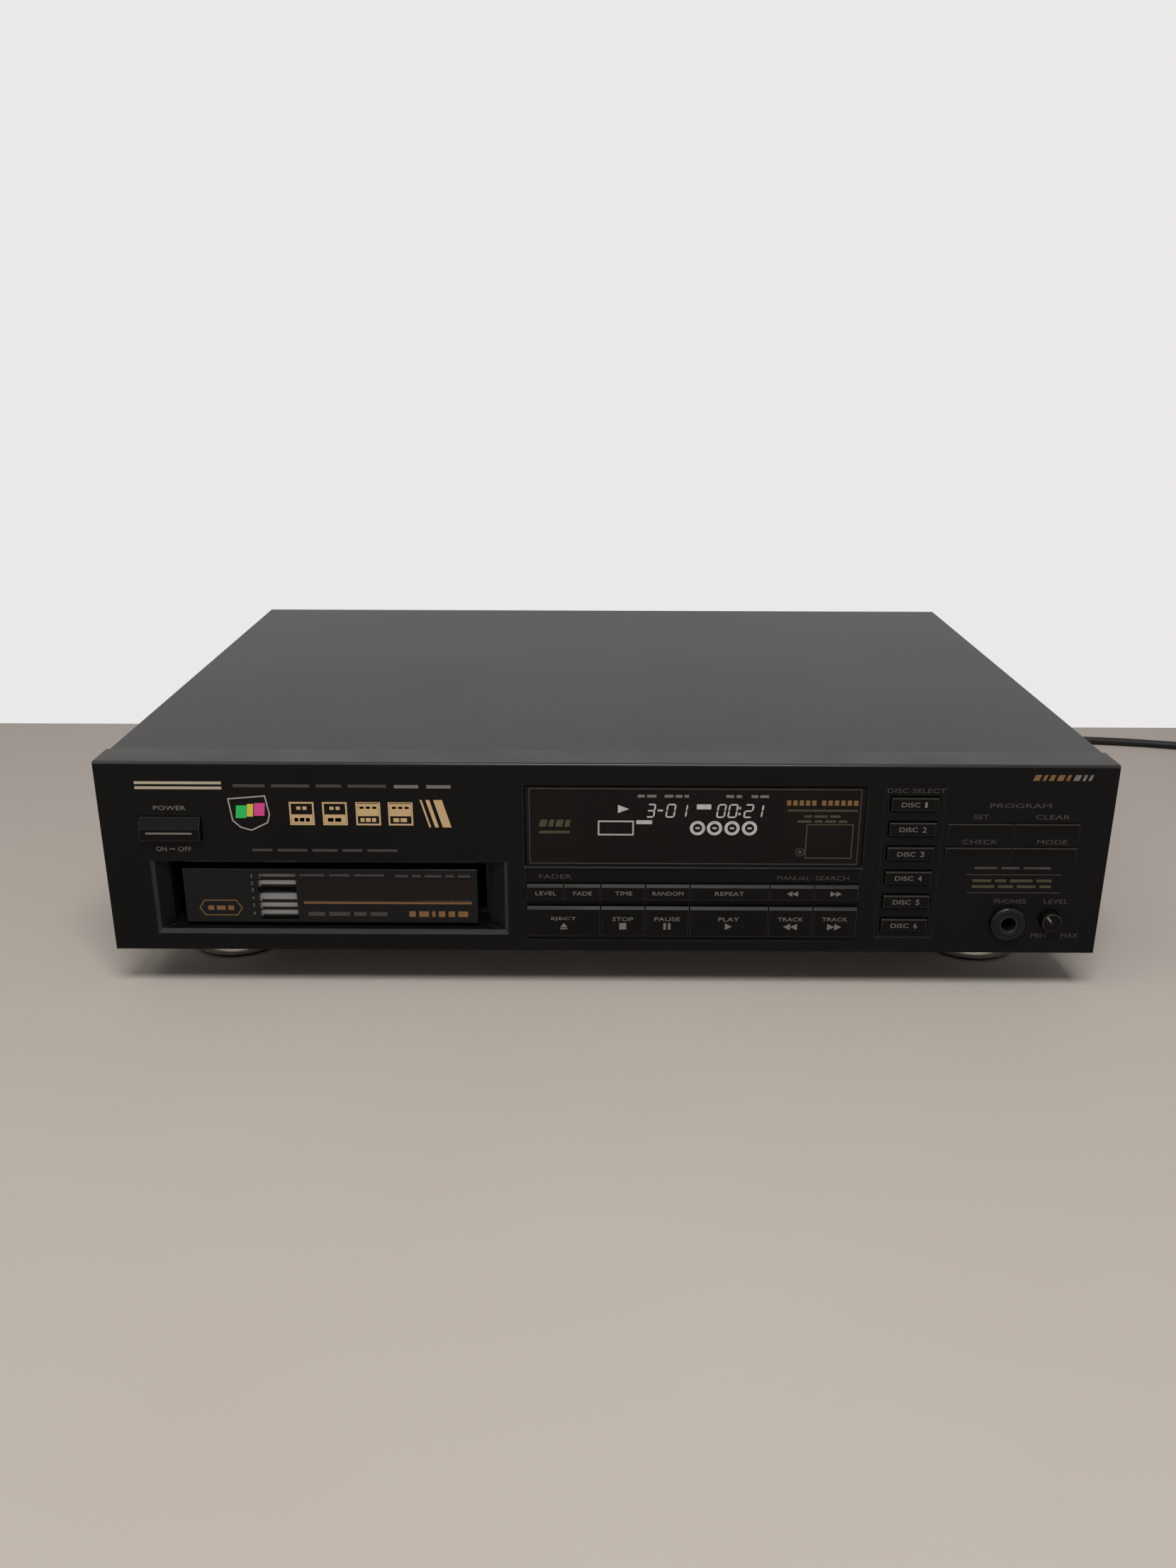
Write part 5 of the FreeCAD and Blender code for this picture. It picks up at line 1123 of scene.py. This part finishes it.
@dataclass
class Display(Assembly):
    """The smoked window with its printed edging, and what the tube behind it shows."""

    finishes: ClassVar[dict[str, Finish]] = {
        "display_window": SMOKED, "display_tube": TUBE_GLASS, "control_board": KEY_BOARD}
    raised: float = 0.06
    window_rows: tuple[Row, ...] = (
        (Mark.EDGING, DIM_INK, bar(-31.6, 105.6, 60.6, 94.2), 0.35),
        (Mark.DASHES, KHAKI_INK, -27.6, -15.0, 77.2, 80.4, (3, 2, 3, 2), 0.8),
        (Mark.SHAPES, KHAKI_INK, bar(-27.6, -15.0, 74.2, 75.4, 0.4)),
        (Mark.DASHES, PALE_INK, 13.3, 21.0, 90.3, 91.5, (3, 4)),
        (Mark.DASHES, PALE_INK, 24.4, 34.4, 90.3, 91.5, (4, 3, 2)),
        (Mark.DASHES, PALE_INK, 49.7, 56.2, 90.3, 91.5, (3, 2)),
        (Mark.DASHES, PALE_INK, 60.2, 67.3, 90.3, 91.5, (3, 4)),
        (Mark.DASHES, GOLD_INK, 74.9, 87.0, 87.0, 89.3, (2, 2, 2, 2, 2)),
        (Mark.DASHES, GOLD_INK, 89.3, 104.3, 87.0, 89.3, (2, 2, 2, 2, 2, 2)),
        (Mark.SHAPES, KHAKI_INK, bar(75.4, 104.4, 84.4, 85.2)),
        (Mark.DASHES, KHAKI_INK, 82.3, 97.4, 81.7, 82.7, (3, 5, 4)),
        (Mark.DASHES, KHAKI_INK, 79.8, 100.2, 79.5, 80.5, (5, 3, 4, 3)),
        (Mark.EDGING, KHAKI_INK, bar(83.5, 103.1, 63.3, 78.8), 0.45),
        (Mark.EDGING, DIM_INK, disc_outline(81.5, 66.2, 1.9), 0.3),
        (Mark.SHAPES, DIM_INK, disc_outline(81.5, 66.2, 0.8)))
    line: float = 0.66
    lean: float = 0.14
    figure_low: float = 80.4
    figure_high: float = 6.2
    figures: tuple[tuple[str, float, float], ...] = (
        ("3", 16.8, 3.6), ("0", 24.9, 3.9), ("1", 30.4, 3.3), ("0", 46.0, 3.7), ("0", 50.7, 3.9),
        ("2", 57.3, 3.8), ("1", 61.6, 3.6))
    play_mark: Outline = ((5.3, 82.4), (9.9, 84.2), (5.3, 86.0))
    lit_rows: tuple[Row, ...] = (
        (Mark.SHAPES, GLOW, bar(21.8, 24.0, 83.2, 84.0), bar(38.0, 44.0, 84.2, 86.4),
         bar(55.4, 56.3, 81.7, 82.7), bar(55.5, 56.4, 84.3, 85.3), bar(13.0, 19.6, 77.5, 79.2)),
        (Mark.EDGING, GLOW, bar(-3.0, 12.0, 72.4, 79.0), 0.6))
    tracks: tuple[float, ...] = (38.6, 45.7, 53.0, 60.3)
    track_z: float = 75.8
    track_radius: float = 3.2
    track_line: float = 1.25
    track_bar: tuple[float, float] = (0.9, 0.4)  # half its width and half its height

    def window_print(self) -> list[bpy.types.Object]:
        """Thin edge lines and the legends on the front of the window.

        Returns:
            One piece for each ink.
        """
        sheet = Print("window", "display_window", "chassis", "smoked_acrylic", self.raised)
        sheet.rows(*self.window_rows)
        return sheet.build()

    def glow(self) -> bpy.types.Object:
        """The lit signs on the tube: figures, bars, a frame and round track marks.

        Returns:
            One piece on the front of the tube.
        """
        sheet = Print("display", "display_tube", "chassis", "tube_glass", self.raised)
        sheet.shapes(GLOW, self.play_mark)
        for digit, left, wide in self.figures:
            sheet.shapes(GLOW, *figure(digit, left, self.figure_low, wide, self.figure_high,
                                       self.line, self.lean))
        sheet.rows(*self.lit_rows)
        z = self.track_z
        half, up = self.track_bar
        for x in self.tracks:
            sheet.edging(GLOW, disc_outline(x, z, self.track_radius), self.track_line)
            sheet.shapes(GLOW, bar(x - half, x + half, z - up, z + up))
        return make_piece("display_glow", join(sheet.films[GLOW]), GLOW, "chassis")

    def pieces(self) -> list[bpy.types.Object]:
        """The glow and the window's prints."""
        return [self.glow(), *self.window_print()]


@dataclass(frozen=True)
class Legend:
    """What is printed on one key: a word between left and right, and perhaps a mark below it."""

    key: str
    text: str
    left: float
    right: float
    low: float
    mark: Symbol | None = None
    mark_x: float = 0.0


@dataclass
class Keys(Assembly):
    """The push keys: their caps and their legends."""

    word_high: float = 1.8
    mark_high: float = 3.0
    mark_z: float = 32.4
    legends: tuple[Legend, ...] = (
        Legend("fade_level", "LEVEL", -29.2, -20.4, 46.7),
        Legend("fade_time", "FADE", -13.2, -5.4, 46.7),
        Legend("time", "TIME", 4.4, 11.6, 46.8),
        Legend("random", "RANDOM", 20.2, 33.2, 46.8),
        Legend("repeat", "REPEAT", 46.6, 58.8, 46.8),
        Legend("eject", "EJECT", -22.6, -12.0, 34.8, Symbol.EJECT, -17.3),
        Legend("stop", "STOP", 3.4, 12.2, 34.8, Symbol.STOP, 7.8),
        Legend("pause", "PAUSE", 21.2, 32.0, 34.9, Symbol.PAUSE, 26.6),
        Legend("play", "PLAY", 48.4, 57.2, 34.9, Symbol.PLAY, 52.8),
        Legend("skip_back", "TRACK", 73.6, 84.4, 35.0, Symbol.BACK, 79.0),
        Legend("skip_forward", "TRACK", 92.4, 103.2, 35.1, Symbol.FORWARD, 97.8))
    searches: tuple[tuple[str, Symbol, float], ...] = (
        ("search_back", Symbol.BACK, 79.2), ("search_forward", Symbol.FORWARD, 97.6))
    search_z: float = 47.8
    search_high: float = 2.4
    disc_word: tuple[float, float, float] = (4.0, 11.6, 1.0)  # from the left, half its height
    disc_figure: tuple[float, float, float] = (5.6, 4.0, 1.2)  # from the right, half its height
    narrow_one: float = 0.6

    def build(self, nodes: dict[str, bpy.types.Object]) -> list[bpy.types.Object]:
        """Dress every cap and print the legends.

        Args:
            nodes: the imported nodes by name.

        Returns:
            The new pieces.
        """
        for name, node in nodes.items():
            if name.startswith("key_"):
                dress(node, KEY_CAP)
        return [*self.words(), *self.numbers()]

    def sheet(self, key: str) -> Print:
        """An empty print on the nose of a key."""
        return Print(f"legend_{key}", f"key_{key}", f"key_{key}", "key_plastic")

    def words(self) -> list[bpy.types.Object]:
        """Words and marks on the transport keys.

        Returns:
            One piece for each key, which moves with it.
        """
        sheets = []
        for legend in self.legends:
            sheet = self.sheet(legend.key)
            sheet.word(PALE_INK, legend.text, legend.left, legend.right, legend.low,
                       legend.low + self.word_high)
            if legend.mark:
                sheet.shapes(PALE_INK, *legend.mark.outlines(legend.mark_x, self.mark_z,
                                                             self.mark_high))
            sheets.append(sheet)
        for key, kind, x in self.searches:
            sheets.append(self.sheet(key))
            sheets[-1].shapes(PALE_INK, *kind.outlines(x, self.search_z, self.search_high))
        return [piece for sheet in sheets for piece in sheet.build()]

    def numbers(self) -> list[bpy.types.Object]:
        """DISC and a figure on each of the six disc keys.

        Returns:
            One piece for each key. The figure 1 is narrower than the others.
        """
        pieces = []
        for number in range(1, 7):
            low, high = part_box(f"key_disc_{number}")
            left, right = low[0] / METRES, high[0] / METRES
            middle = (low[2] + high[2]) / 2 / METRES
            sheet = self.sheet(f"disc_{number}")
            start, end, half = self.disc_word
            sheet.word(PALE_INK, "DISC", left + start, left + end, middle - half, middle + half)
            start, end, half = self.disc_figure
            end += self.narrow_one * (number == 1)
            sheet.word(PALE_INK, str(number), right - start, right - end, middle - half,
                       middle + half)
            pieces += sheet.build()
        return pieces


@dataclass
class Magazine(Assembly):
    """The magazine with its trays, its printed face and its brown label."""

    finishes: ClassVar[dict[str, Finish]] = {
        "magazine_case": MAGAZINE, "tray_pin": ROD, "compact_disc": DISC,
        **{f"tray_{number}": TRAY for number in range(1, 7)}}
    tab_middles: tuple[float, ...] = (53.1, 49.8, 46.6, 42.9, 39.5, 35.8)
    number_x: float = -149.9
    number_high: float = 1.5
    number_wide: float = 0.9
    one_wide: float = 0.4
    rows: tuple[Row, ...] = (
        (Mark.EDGING, GOLD_INK, ((-171.0, 34.6), (-157.2, 34.6), (-154.8, 38.2), (-157.2, 41.9),
                                 (-171.0, 41.9), (-173.4, 38.2)), 0.4),
        (Mark.DASHES, GOLD_INK, -169.6, -158.6, 37.2, 39.2, (2, 3, 2)),
        (Mark.DASHES, DIM_INK, -129.4, -93.6, 53.1, 54.0, (5, 4, 6)),
        (Mark.DASHES, DIM_INK, -88.7, -56.9, 52.8, 53.8, (3, 2, 4, 2, 3)),
        (Mark.DASHES, DIM_INK, -126.8, -93.1, 34.6, 36.4, (4, 5, 3, 4)),
        (Mark.DASHES, GOLD_INK, -83.6, -58.4, 34.3, 36.9, (2, 3, 1, 2, 2, 3)))
    tab: tuple[float, float, float] = (-147.0, -131.7, -144.7)  # left, right, plane of its face
    shade_band_high: float = 1.1
    played: int = 3
    pin: tuple[float, float] = (-172.65, -27.0)
    label_edges: tuple[float, float, float, float] = (-128.4, -56.7, 42.3, 51.8)
    label_sunk: float = 0.3
    card: float = 0.15
    line_ends: tuple[float, float] = (40.3, 41.2)

    def face_print(self) -> list[bpy.types.Object]:
        """Numbers, lines and plain blocks on the magazine's face.

        Returns:
            One piece for each ink.
        """
        sheet = Print("magazine", "magazine_case", "magazine", "magazine_plastic")
        for number, middle in enumerate(self.tab_middles, 1):
            half = (self.one_wide if number == 1 else self.number_wide) / 2
            up = self.number_high / 2
            sheet.word(PALE_INK, str(number), self.number_x - half, self.number_x + half,
                       middle - up, middle + up)
        sheet.rows(*self.rows)
        return sheet.build()

    def tab_shade_bands(self) -> list[bpy.types.Object]:
        """Painted shade: a dark lower band on the tab of each tray.

        Returns:
            One piece for each tray. The band of the tray that stands out is turned a quarter turn
            about the pin: x and y, counted from the pin, become minus y and x.
        """
        pieces = []
        left, right, face_y = self.tab
        for number in range(1, 7):
            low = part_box(f"tray_{number}")[0][2] / METRES
            # A dark film that paints shade on the lower part of the tab.
            shade_band = prism(bar(left, right, low, low + self.shade_band_high), face_y, FILM)
            if number == self.played:
                x, y = (shade_band.points[:, :2] - self.pin).T
                shade_band.points[:, :2] = np.column_stack([-y, x]) + self.pin
            pieces.append(make_piece(f"tab_band_{number}", shade_band, DARK_INK, f"tray_{number}"))
        return pieces

    def label(self) -> list[bpy.types.Object]:
        """Brown card in the label recess, with a gold line along its lower edge.

        Returns:
            Two pieces.
        """
        face_y = front_of("magazine_case")
        card = prism(bar(*self.label_edges), face_y + self.label_sunk, self.card)
        line = prism(bar(*self.label_edges[:2], *self.line_ends), face_y, FILM)
        return [make_piece("magazine_label", card, LABEL_CARD, "magazine"),
                make_piece("magazine_line", line, GOLD_INK, "magazine")]

    def pieces(self) -> list[bpy.types.Object]:
        """The face's print, the painted shade bands on the tabs and the label."""
        return [*self.face_print(), *self.tab_shade_bands(), *self.label()]


@dataclass
class Controls(Assembly):
    """Power key, level knob and headphone socket."""

    finishes: ClassVar[dict[str, Finish]] = {
        "power_key": KEY_CAP, "level_knob": KEY_CAP, "phones_board": SOCKET}
    strip: tuple[float, float, float, float] = (-190.6, -171.4, 74.1, 74.9)
    knob: tuple[float, float] = (189.2, 35.9)
    pointer: tuple[float, float, float, float] = (-0.4, 0.4, 0.8, 3.7)
    pointer_turn: float = 40.0
    socket: tuple[float, float] = (171.4, 34.5)
    socket_lip: Outline = ((7.1, 0.0), (7.55, 0.0), (7.7, -0.7), (7.65, -1.7), (7.35, -2.4),
                           (6.8, -2.85), (6.0, -3.05), (5.1, -3.0), (4.3, -2.8), (3.7, -2.55),
                           (3.7, -2.3), (7.0, -2.3), (7.1, 0.0))

    def prints(self) -> list[bpy.types.Object]:
        """A pale strip along the power key's crease, and the knob's pointer.

        Returns:
            Two pieces. The pointer is a bar above the knob's middle, turned about it: a corner at
            (u, v) goes to (u cos t - v sin t, u sin t + v cos t), with t the turn.
        """
        crease = Print("power_strip", "power_key", "power_key", "key_plastic", 0.06)
        crease.shapes(PALE_INK, bar(*self.strip))
        pointer = Print("knob_pointer", "level_knob", "level_knob", "key_plastic", 0.08)
        turn = math.radians(self.pointer_turn)
        cos, sin = math.cos(turn), math.sin(turn)
        x, z = self.knob
        pointer.shapes(PALE_INK, [(x + u * cos - v * sin, z + u * sin + v * cos)
                                  for u, v in bar(*self.pointer)])
        return [*crease.build(), *pointer.build()]

    def collar(self) -> bpy.types.Object:
        """Rounded lip round the headphone socket, turned from a closed profile.

        Returns:
            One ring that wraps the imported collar.
        """
        x, z = self.socket
        ring = turned(self.socket_lip, (x, front_of("front_panel"), z), "y", 64)
        return make_piece("phones_lip", ring, SOCKET_LIP, "chassis", True)

    def pieces(self) -> list[bpy.types.Object]:
        """The two prints and the socket's lip."""
        return [*self.prints(), self.collar()]


@dataclass
class Rear(Assembly):
    """The two output sockets."""

    finishes: ClassVar[dict[str, Finish]] = {"output_jacks": SOCKET}
    sockets: tuple[tuple[str, float, Finish], ...] = (
        ("left", 78.0, PALE_RING), ("right", 62.0, RED_RING))
    up: float = 37.1
    root_y: float = 149.2
    shell: Outline = ((4.2, 0.0), (5.3, 0.0), (5.3, 1.2), (4.45, 1.5), (4.45, 9.0), (4.2, 9.0),
                      (4.2, 0.0))
    cap: Outline = ((3.3, 8.9), (4.44, 8.9), (4.44, 9.1), (4.2, 9.35), (3.5, 9.35), (3.3, 9.1),
                    (3.3, 8.9))

    def pieces(self) -> list[bpy.types.Object]:
        """Plated collars with a coloured ring at the mouth of each.

        Returns:
            The new pieces, turned from closed profiles.
        """
        return [make_piece(f"jack_{kind}_{name}", turned(profile, (x, self.root_y, self.up), "y"),
                           finish, "chassis", True)
                for name, x, ring in self.sockets
                for kind, profile, finish in (("collar", self.shell, NICKEL),
                                              ("ring", self.cap, ring))]


@dataclass
class Works(Assembly):
    """What the housing covers: bay, lift, motor, pickup, clamp, boards and transformer."""

    finishes: ClassVar[dict[str, Finish]] = {
        "magazine_bay": DRIVE, "lift_deck": DRIVE, "spindle_motor": MOTOR_CAN, "turntable": DRIVE,
        "pickup": DRIVE, "pickup_rods": ROD, "clamp_plate": ZINC, "clamp_puck": DRIVE,
        "lift_frame": ZINC, "power_transformer": CORE, "main_board": MAIN_BOARD}


@dataclass
class Lead(Assembly):
    """Mains lead with its bush, its coil and its plug."""

    radius: float = 2.6
    exit: Place = (165.0, 174.0, 38.0)
    run: tuple[Place, ...] = (
        (165.0, 174.0, 38.0), (165.0, 190.0, 38.0), (167.0, 206.0, 34.3), (174.0, 218.0, 24.6),
        (187.0, 222.8, 12.0), (208.0, 221.0, 3.4), (234.0, 217.0, 2.8), (264.0, 213.5, 2.8),
        (300.0, 210.5, 2.8), (332.0, 206.5, 2.8), (370.0, 201.5, 2.8), (405.0, 192.5, 2.8),
        (432.0, 187.2, 2.8), (452.0, 186.4, 2.8))
    to_plug: tuple[Place, ...] = ((489.6, 150.0, 8.3), (489.6, 141.0, 8.2), (489.6, 133.0, 7.4),
                                  (489.6, 126.0, 6.75))
    coil_middle: tuple[float, float] = (455.0, 150.0)
    outer: float = 36.1
    pitch: float = 5.25
    low: float = 2.8
    high: float = 8.1
    per_turn: int = 16
    starts_at: float = 95.0  # all angles are degrees
    swept_end: float = 2616.0
    radius_steps: tuple[tuple[float, int], ...] = (
        (290.0, -1), (650.0, -1), (1010.0, -1), (1730.0, 1), (2090.0, 1), (2450.0, 1))
    step_wide: float = 60.0
    lift: tuple[float, float] = (1300.0, 80.0)  # where it starts, how wide it is
    tuck: tuple[float, float, float] = (2520.0, 95.0, 1.5)  # the same, and how far it goes in
    bush_root: float = 149.0
    bush_head: Outline = ((2.3, -3.0), (5.6, -3.0), (5.6, 0.0), (7.2, 0.0), (7.6, 0.4), (7.6, 2.4),
                          (7.0, 3.0))
    bush_ends: tuple[float, float] = (3.0, 25.0)
    bush_radii: tuple[float, float] = (5.2, 3.6)
    bush_grooves: tuple[float, float] = (2.75, 0.55)  # how far apart, how deep
    plug_x: float = 489.6
    plug_z: float = 6.75
    plug_table: tuple[Place, ...] = (
        (72.0, 15.5, 5.6), (73.0, 16.9, 6.3), (76.0, 17.6, 6.7), (84.0, 17.75, 6.75),
        (94.0, 17.2, 6.6), (101.0, 14.0, 6.2), (106.0, 8.4, 5.8), (108.0, 5.9, 5.3))
    plug_powers: tuple[tuple[float, ...], ...] = ((72.0, 98.0, 108.0), (0.55, 0.6, 1.0))
    neck_end: float = 128.0
    neck_radii: tuple[float, float] = (5.6, 3.6)
    neck_grooves: tuple[float, float] = (3.3, 0.6)  # how far apart, how deep
    neck_flat: float = 0.98  # its height over its width
    pin_apart: float = 9.3
    pin_profile: Outline = ((0.0, 53.0), (1.0, 53.25), (1.7, 53.9), (2.0, 54.9), (2.0, 73.0),
                            (0.0, 73.0))

    def coil(self) -> np.ndarray:
        """Points of the coil: two layers, each of three and a half turns.

        Returns:
            A point each 22.5 degrees of the swept angle. In the lower layer the radius falls by
            one pitch a turn, in a smooth step over 60 degrees, and in the upper one it grows
            again in the same way. The height steps from the lower to the upper layer between the
            two, and the end is tucked in evenly. Every radius is divided by the cosine of half a
            step, since the spline cuts the corners of its points.
        """
        swept = np.arange(0.0, self.swept_end, 360.0 / self.per_turn)
        radius = self.outer + self.pitch * sum(way * smooth_step(swept, start, self.step_wide)
                                               for start, way in self.radius_steps)
        start, wide, inward = self.tuck
        radius = radius - inward * np.clip((swept - start) / wide, 0.0, 1.0)
        radius = radius / math.cos(math.pi / self.per_turn)
        height = self.low + (self.high - self.low) * smooth_step(swept, *self.lift)
        angle = np.radians(self.starts_at - swept)
        x, y = self.coil_middle
        return np.column_stack([x + radius * np.cos(angle), y + radius * np.sin(angle), height])

    def tube(self) -> bpy.types.Object:
        """The lead as one round tube along a spline.

        Returns:
            The curve object; its control points are the run, the coil and the way to the plug.
        """
        path = np.concatenate([np.array(self.run), self.coil(), np.array(self.to_plug)]) * METRES
        curve = bpy.data.curves.new("lead", "CURVE")
        curve.dimensions = "3D"
        curve.bevel_depth = self.radius * METRES
        curve.bevel_resolution = 4
        curve.resolution_u = 5
        spline = curve.splines.new("NURBS")
        spline.points.add(len(path) - 1)
        spline.points.foreach_set("co", np.column_stack([path, np.ones(len(path))]).ravel())
        spline.order_u = 3
        spline.use_endpoint_u = True
        curve.materials.append(SHEATH.material())
        lead = bpy.data.objects.new("lead", curve)
        bpy.context.scene.collection.objects.link(lead)
        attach(lead, "chassis")
        return lead

    def bush(self) -> bpy.types.Object:
        """Strain relief: a ribbed cone behind a flat head.

        Returns:
            One piece turned about the lead. The cone's radius falls evenly from the wide to the
            narrow one over its length, less the grooves.
        """
        start, end = self.bush_ends
        wide, narrow = self.bush_radii
        apart, deep = self.bush_grooves
        along = np.linspace(start, end, 89)
        cone = wide - (wide - narrow) * (along - start) / (end - start)
        cone = cone - deep * grooves(along, start, apart)
        bore = self.bush_head[0]
        profile = [*self.bush_head, *zip(cone, along), (bore[0], end), bore]
        surface = turned(profile, (self.exit[0], self.bush_root, self.exit[2]), "y")
        return make_piece("lead_bush", surface, SHEATH_MOULD, "chassis", True)

    def plug(self) -> bpy.types.Object:
        """Two pin plug: a flat rounded body that narrows to a grooved neck.

        Returns:
            One piece: superellipses set along the depth. The body's half width and half height
            come from a table, and the neck's radius falls evenly from the wide to the narrow one,
            less its grooves. A point at the angle a lies at the half width times a power of cos a
            with its sign, and likewise up with the sine; the power grows to 1, a circle, at the
            neck.
        """
        place, half_wide, half_high = np.array(self.plug_table).T
        root = place[-1]
        along = np.concatenate([np.linspace(place[0], root, 37),
                                np.linspace(root + 0.25, self.neck_end, 80)])
        first, last = self.neck_radii
        apart, deep = self.neck_grooves
        neck = first - (first - last) * (along - root) / (self.neck_end - root)
        neck = neck - deep * grooves(along, root, apart)
        wide = np.where(along <= root, np.interp(along, place, half_wide), neck)[:, None]
        high = np.where(along <= root, np.interp(along, place, half_high),
                        neck * self.neck_flat)[:, None]
        power = np.interp(along, *self.plug_powers)[:, None]
        angle = np.linspace(0.0, 2.0 * math.pi, 64, endpoint=False)[None, :]
        across = np.sign(np.cos(angle)) * np.abs(np.cos(angle)) ** power * wide
        upward = np.sign(np.sin(angle)) * np.abs(np.sin(angle)) ** power * high
        rings = np.stack([self.plug_x + across, np.broadcast_to(along[:, None], across.shape),
                          self.plug_z + upward], axis=-1)
        tip, tail = (np.broadcast_to(ring.mean(axis=0), ring.shape)[None]
                     for ring in (rings[0], rings[-1]))
        surface = grid(np.concatenate([tip, rings, tail]), around=True)
        return make_piece("plug_body", surface, SHEATH_MOULD, "chassis", True)

    def pins(self) -> bpy.types.Object:
        """Two round plated pins with sleeved roots and round tips.

        Returns:
            One piece, turned from the same profile at each side of the plug's middle.
        """
        places = [(self.plug_x + side * self.pin_apart, 0.0, self.plug_z) for side in (-1.0, 1.0)]
        surfaces = [turned(self.pin_profile, place, "y", 24) for place in places]
        return make_piece("plug_pins", join(surfaces), NICKEL, "chassis", True)

    def pieces(self) -> list[bpy.types.Object]:
        """Make the lead, and hide the imported cord, coil, bush and plug.

        Returns:
            The new pieces.
        """
        tube, bush, plug, pins = self.tube(), self.bush(), self.plug(), self.pins()
        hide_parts("power_cord", "cord_coil")
        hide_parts("cord_bush")
        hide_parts("power_plug")
        return [tube, bush, plug, pins]


@dataclass
class Studio:
    """Floor, camera, world and lamps of the picture."""

    camera: Place = (-5.3, -637.1, 270.8)
    pitch: float = 19.72
    yaw: float = -0.22
    roll: float = 0.16
    lens: float = 38.63
    backdrop: str = "#ebe9e8"
    ambient: float = 0.22
    floor_half: float = 3000.0
    floor_back: float = 245.0
    sensor_wide: float = 36.0
    sees_to: float = 20.0
    softboxes: tuple[tuple[str, Place, Place, tuple[float, float], float], ...] = (
        ("overhead_softbox", (60.0, -820.0, 1150.0), (40.0, -100.0, 0.0), (620.0, 300.0), 10.0),
        ("front_fill", (-900.0, -900.0, 1600.0), (0.0, -100.0, 0.0), (900.0, 900.0), 5.0))

    def floor(self) -> bpy.types.Object:
        """One large flat face under the object, which ends a little behind it.

        Returns:
            The floor, faced upwards.
        """
        half, back = self.floor_half * METRES, self.floor_back * METRES
        mesh = bpy.data.meshes.new("studio_floor")
        mesh.from_pydata([(-half, -half, 0.0), (half, -half, 0.0), (half, back, 0.0),
                          (-half, back, 0.0)], [], [[0, 1, 2, 3]])
        mesh.materials.append(PAPER.material())
        floor = bpy.data.objects.new("studio_floor", mesh)
        bpy.context.scene.collection.objects.link(floor)
        return floor

    def lamp(self, name: str, place: Place, aim: Place, size: tuple[float, float],
             watts: float) -> bpy.types.Object:
        """A softbox: a rectangular area lamp.

        Args:
            name: its name.
            place: where it hangs.
            aim: the point that it faces.
            size: its width and its height.
            watts: its power.

        Returns:
            The lamp, turned so that its -Z looks along the way from its place to the aim.
        """
        light = bpy.data.lights.new(name, "AREA")
        light.shape = "RECTANGLE"
        light.size, light.size_y = (value * METRES for value in size)
        light.energy = watts
        lamp = bpy.data.objects.new(name, light)
        bpy.context.scene.collection.objects.link(lamp)
        start, end = Vector(place) * METRES, Vector(aim) * METRES
        lamp.location = start
        lamp.rotation_euler = (end - start).to_track_quat("-Z", "Y").to_euler()
        return lamp

    def world(self) -> None:
        """Even soft light; rays from the camera, mirrors and clear parts see the pale backdrop.

        The strength is the ambient level, or 1 where any of the three kinds of ray asks.
        """
        world = bpy.data.worlds.new("studio_world")
        world.use_nodes = True
        tree = world.node_tree
        tree.nodes.clear()
        path = add_node(tree, "LightPath")
        seen = add_node(tree, "Math", {"operation": "MAXIMUM"}, {
            0: path.outputs["Is Camera Ray"], 1: path.outputs["Is Glossy Ray"]})
        through = add_node(tree, "Math", {"operation": "MAXIMUM"}, {
            0: seen.outputs[0], 1: path.outputs["Is Transmission Ray"]})
        strength = add_node(tree, "MapRange", sockets={
            "Value": through.outputs[0], "To Min": self.ambient, "To Max": 1.0})
        background = add_node(tree, "Background", sockets={
            "Color": linear(self.backdrop), "Strength": strength.outputs[0]})
        add_node(tree, "OutputWorld", sockets={"Surface": background.outputs[0]})
        bpy.context.scene.world = world

    def view(self) -> None:
        """The camera: in front, a little above, looking down.

        It looks along its yaw from +Y and its pitch below the level; its right is level and square
        to that, and both right and up are then turned by the roll.
        """
        pitch, yaw, roll = (math.radians(value) for value in (self.pitch, self.yaw, self.roll))
        ahead = Vector((math.sin(yaw) * math.cos(pitch), math.cos(yaw) * math.cos(pitch),
                        -math.sin(pitch)))
        right = Vector((math.cos(yaw), -math.sin(yaw), 0.0))
        upward = right.cross(ahead)
        turned_right = right * math.cos(roll) + upward * math.sin(roll)
        turned_up = upward * math.cos(roll) - right * math.sin(roll)
        data = bpy.data.cameras.new("view")
        data.sensor_fit = "HORIZONTAL"
        data.sensor_width = self.sensor_wide
        data.lens = self.lens
        data.clip_end = self.sees_to
        camera = bpy.data.objects.new("view", data)
        bpy.context.scene.collection.objects.link(camera)
        basis = Matrix((turned_right, turned_up, -ahead)).transposed().to_4x4()
        camera.matrix_world = Matrix.Translation(Vector(self.camera) * METRES) @ basis
        bpy.context.scene.camera = camera

    def build(self) -> None:
        """Set up the floor, the lamps, the world and the camera."""
        floor = self.floor()
        overhead, fill = (self.lamp(*row) for row in self.softboxes)
        self.world()
        self.view()


def main() -> None:
    """Build each sub-assembly in order, then the stage."""
    logging.basicConfig(level=logging.INFO, format="%(name)s: %(message)s")
    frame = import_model()
    nodes = frame["nodes"]
    for part in (Housing(), PanelPrint(), Display(), Keys(), Magazine(), Controls(), Rear(),
                 Works(), Lead()):
        for piece in part.build(nodes):
            LOG.info("%s: %s", type(part).__name__, piece.name)
    Studio().build()
    bpy.context.scene.view_settings.view_transform = "Standard"
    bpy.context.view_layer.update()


if __name__ == "__main__":
    main()
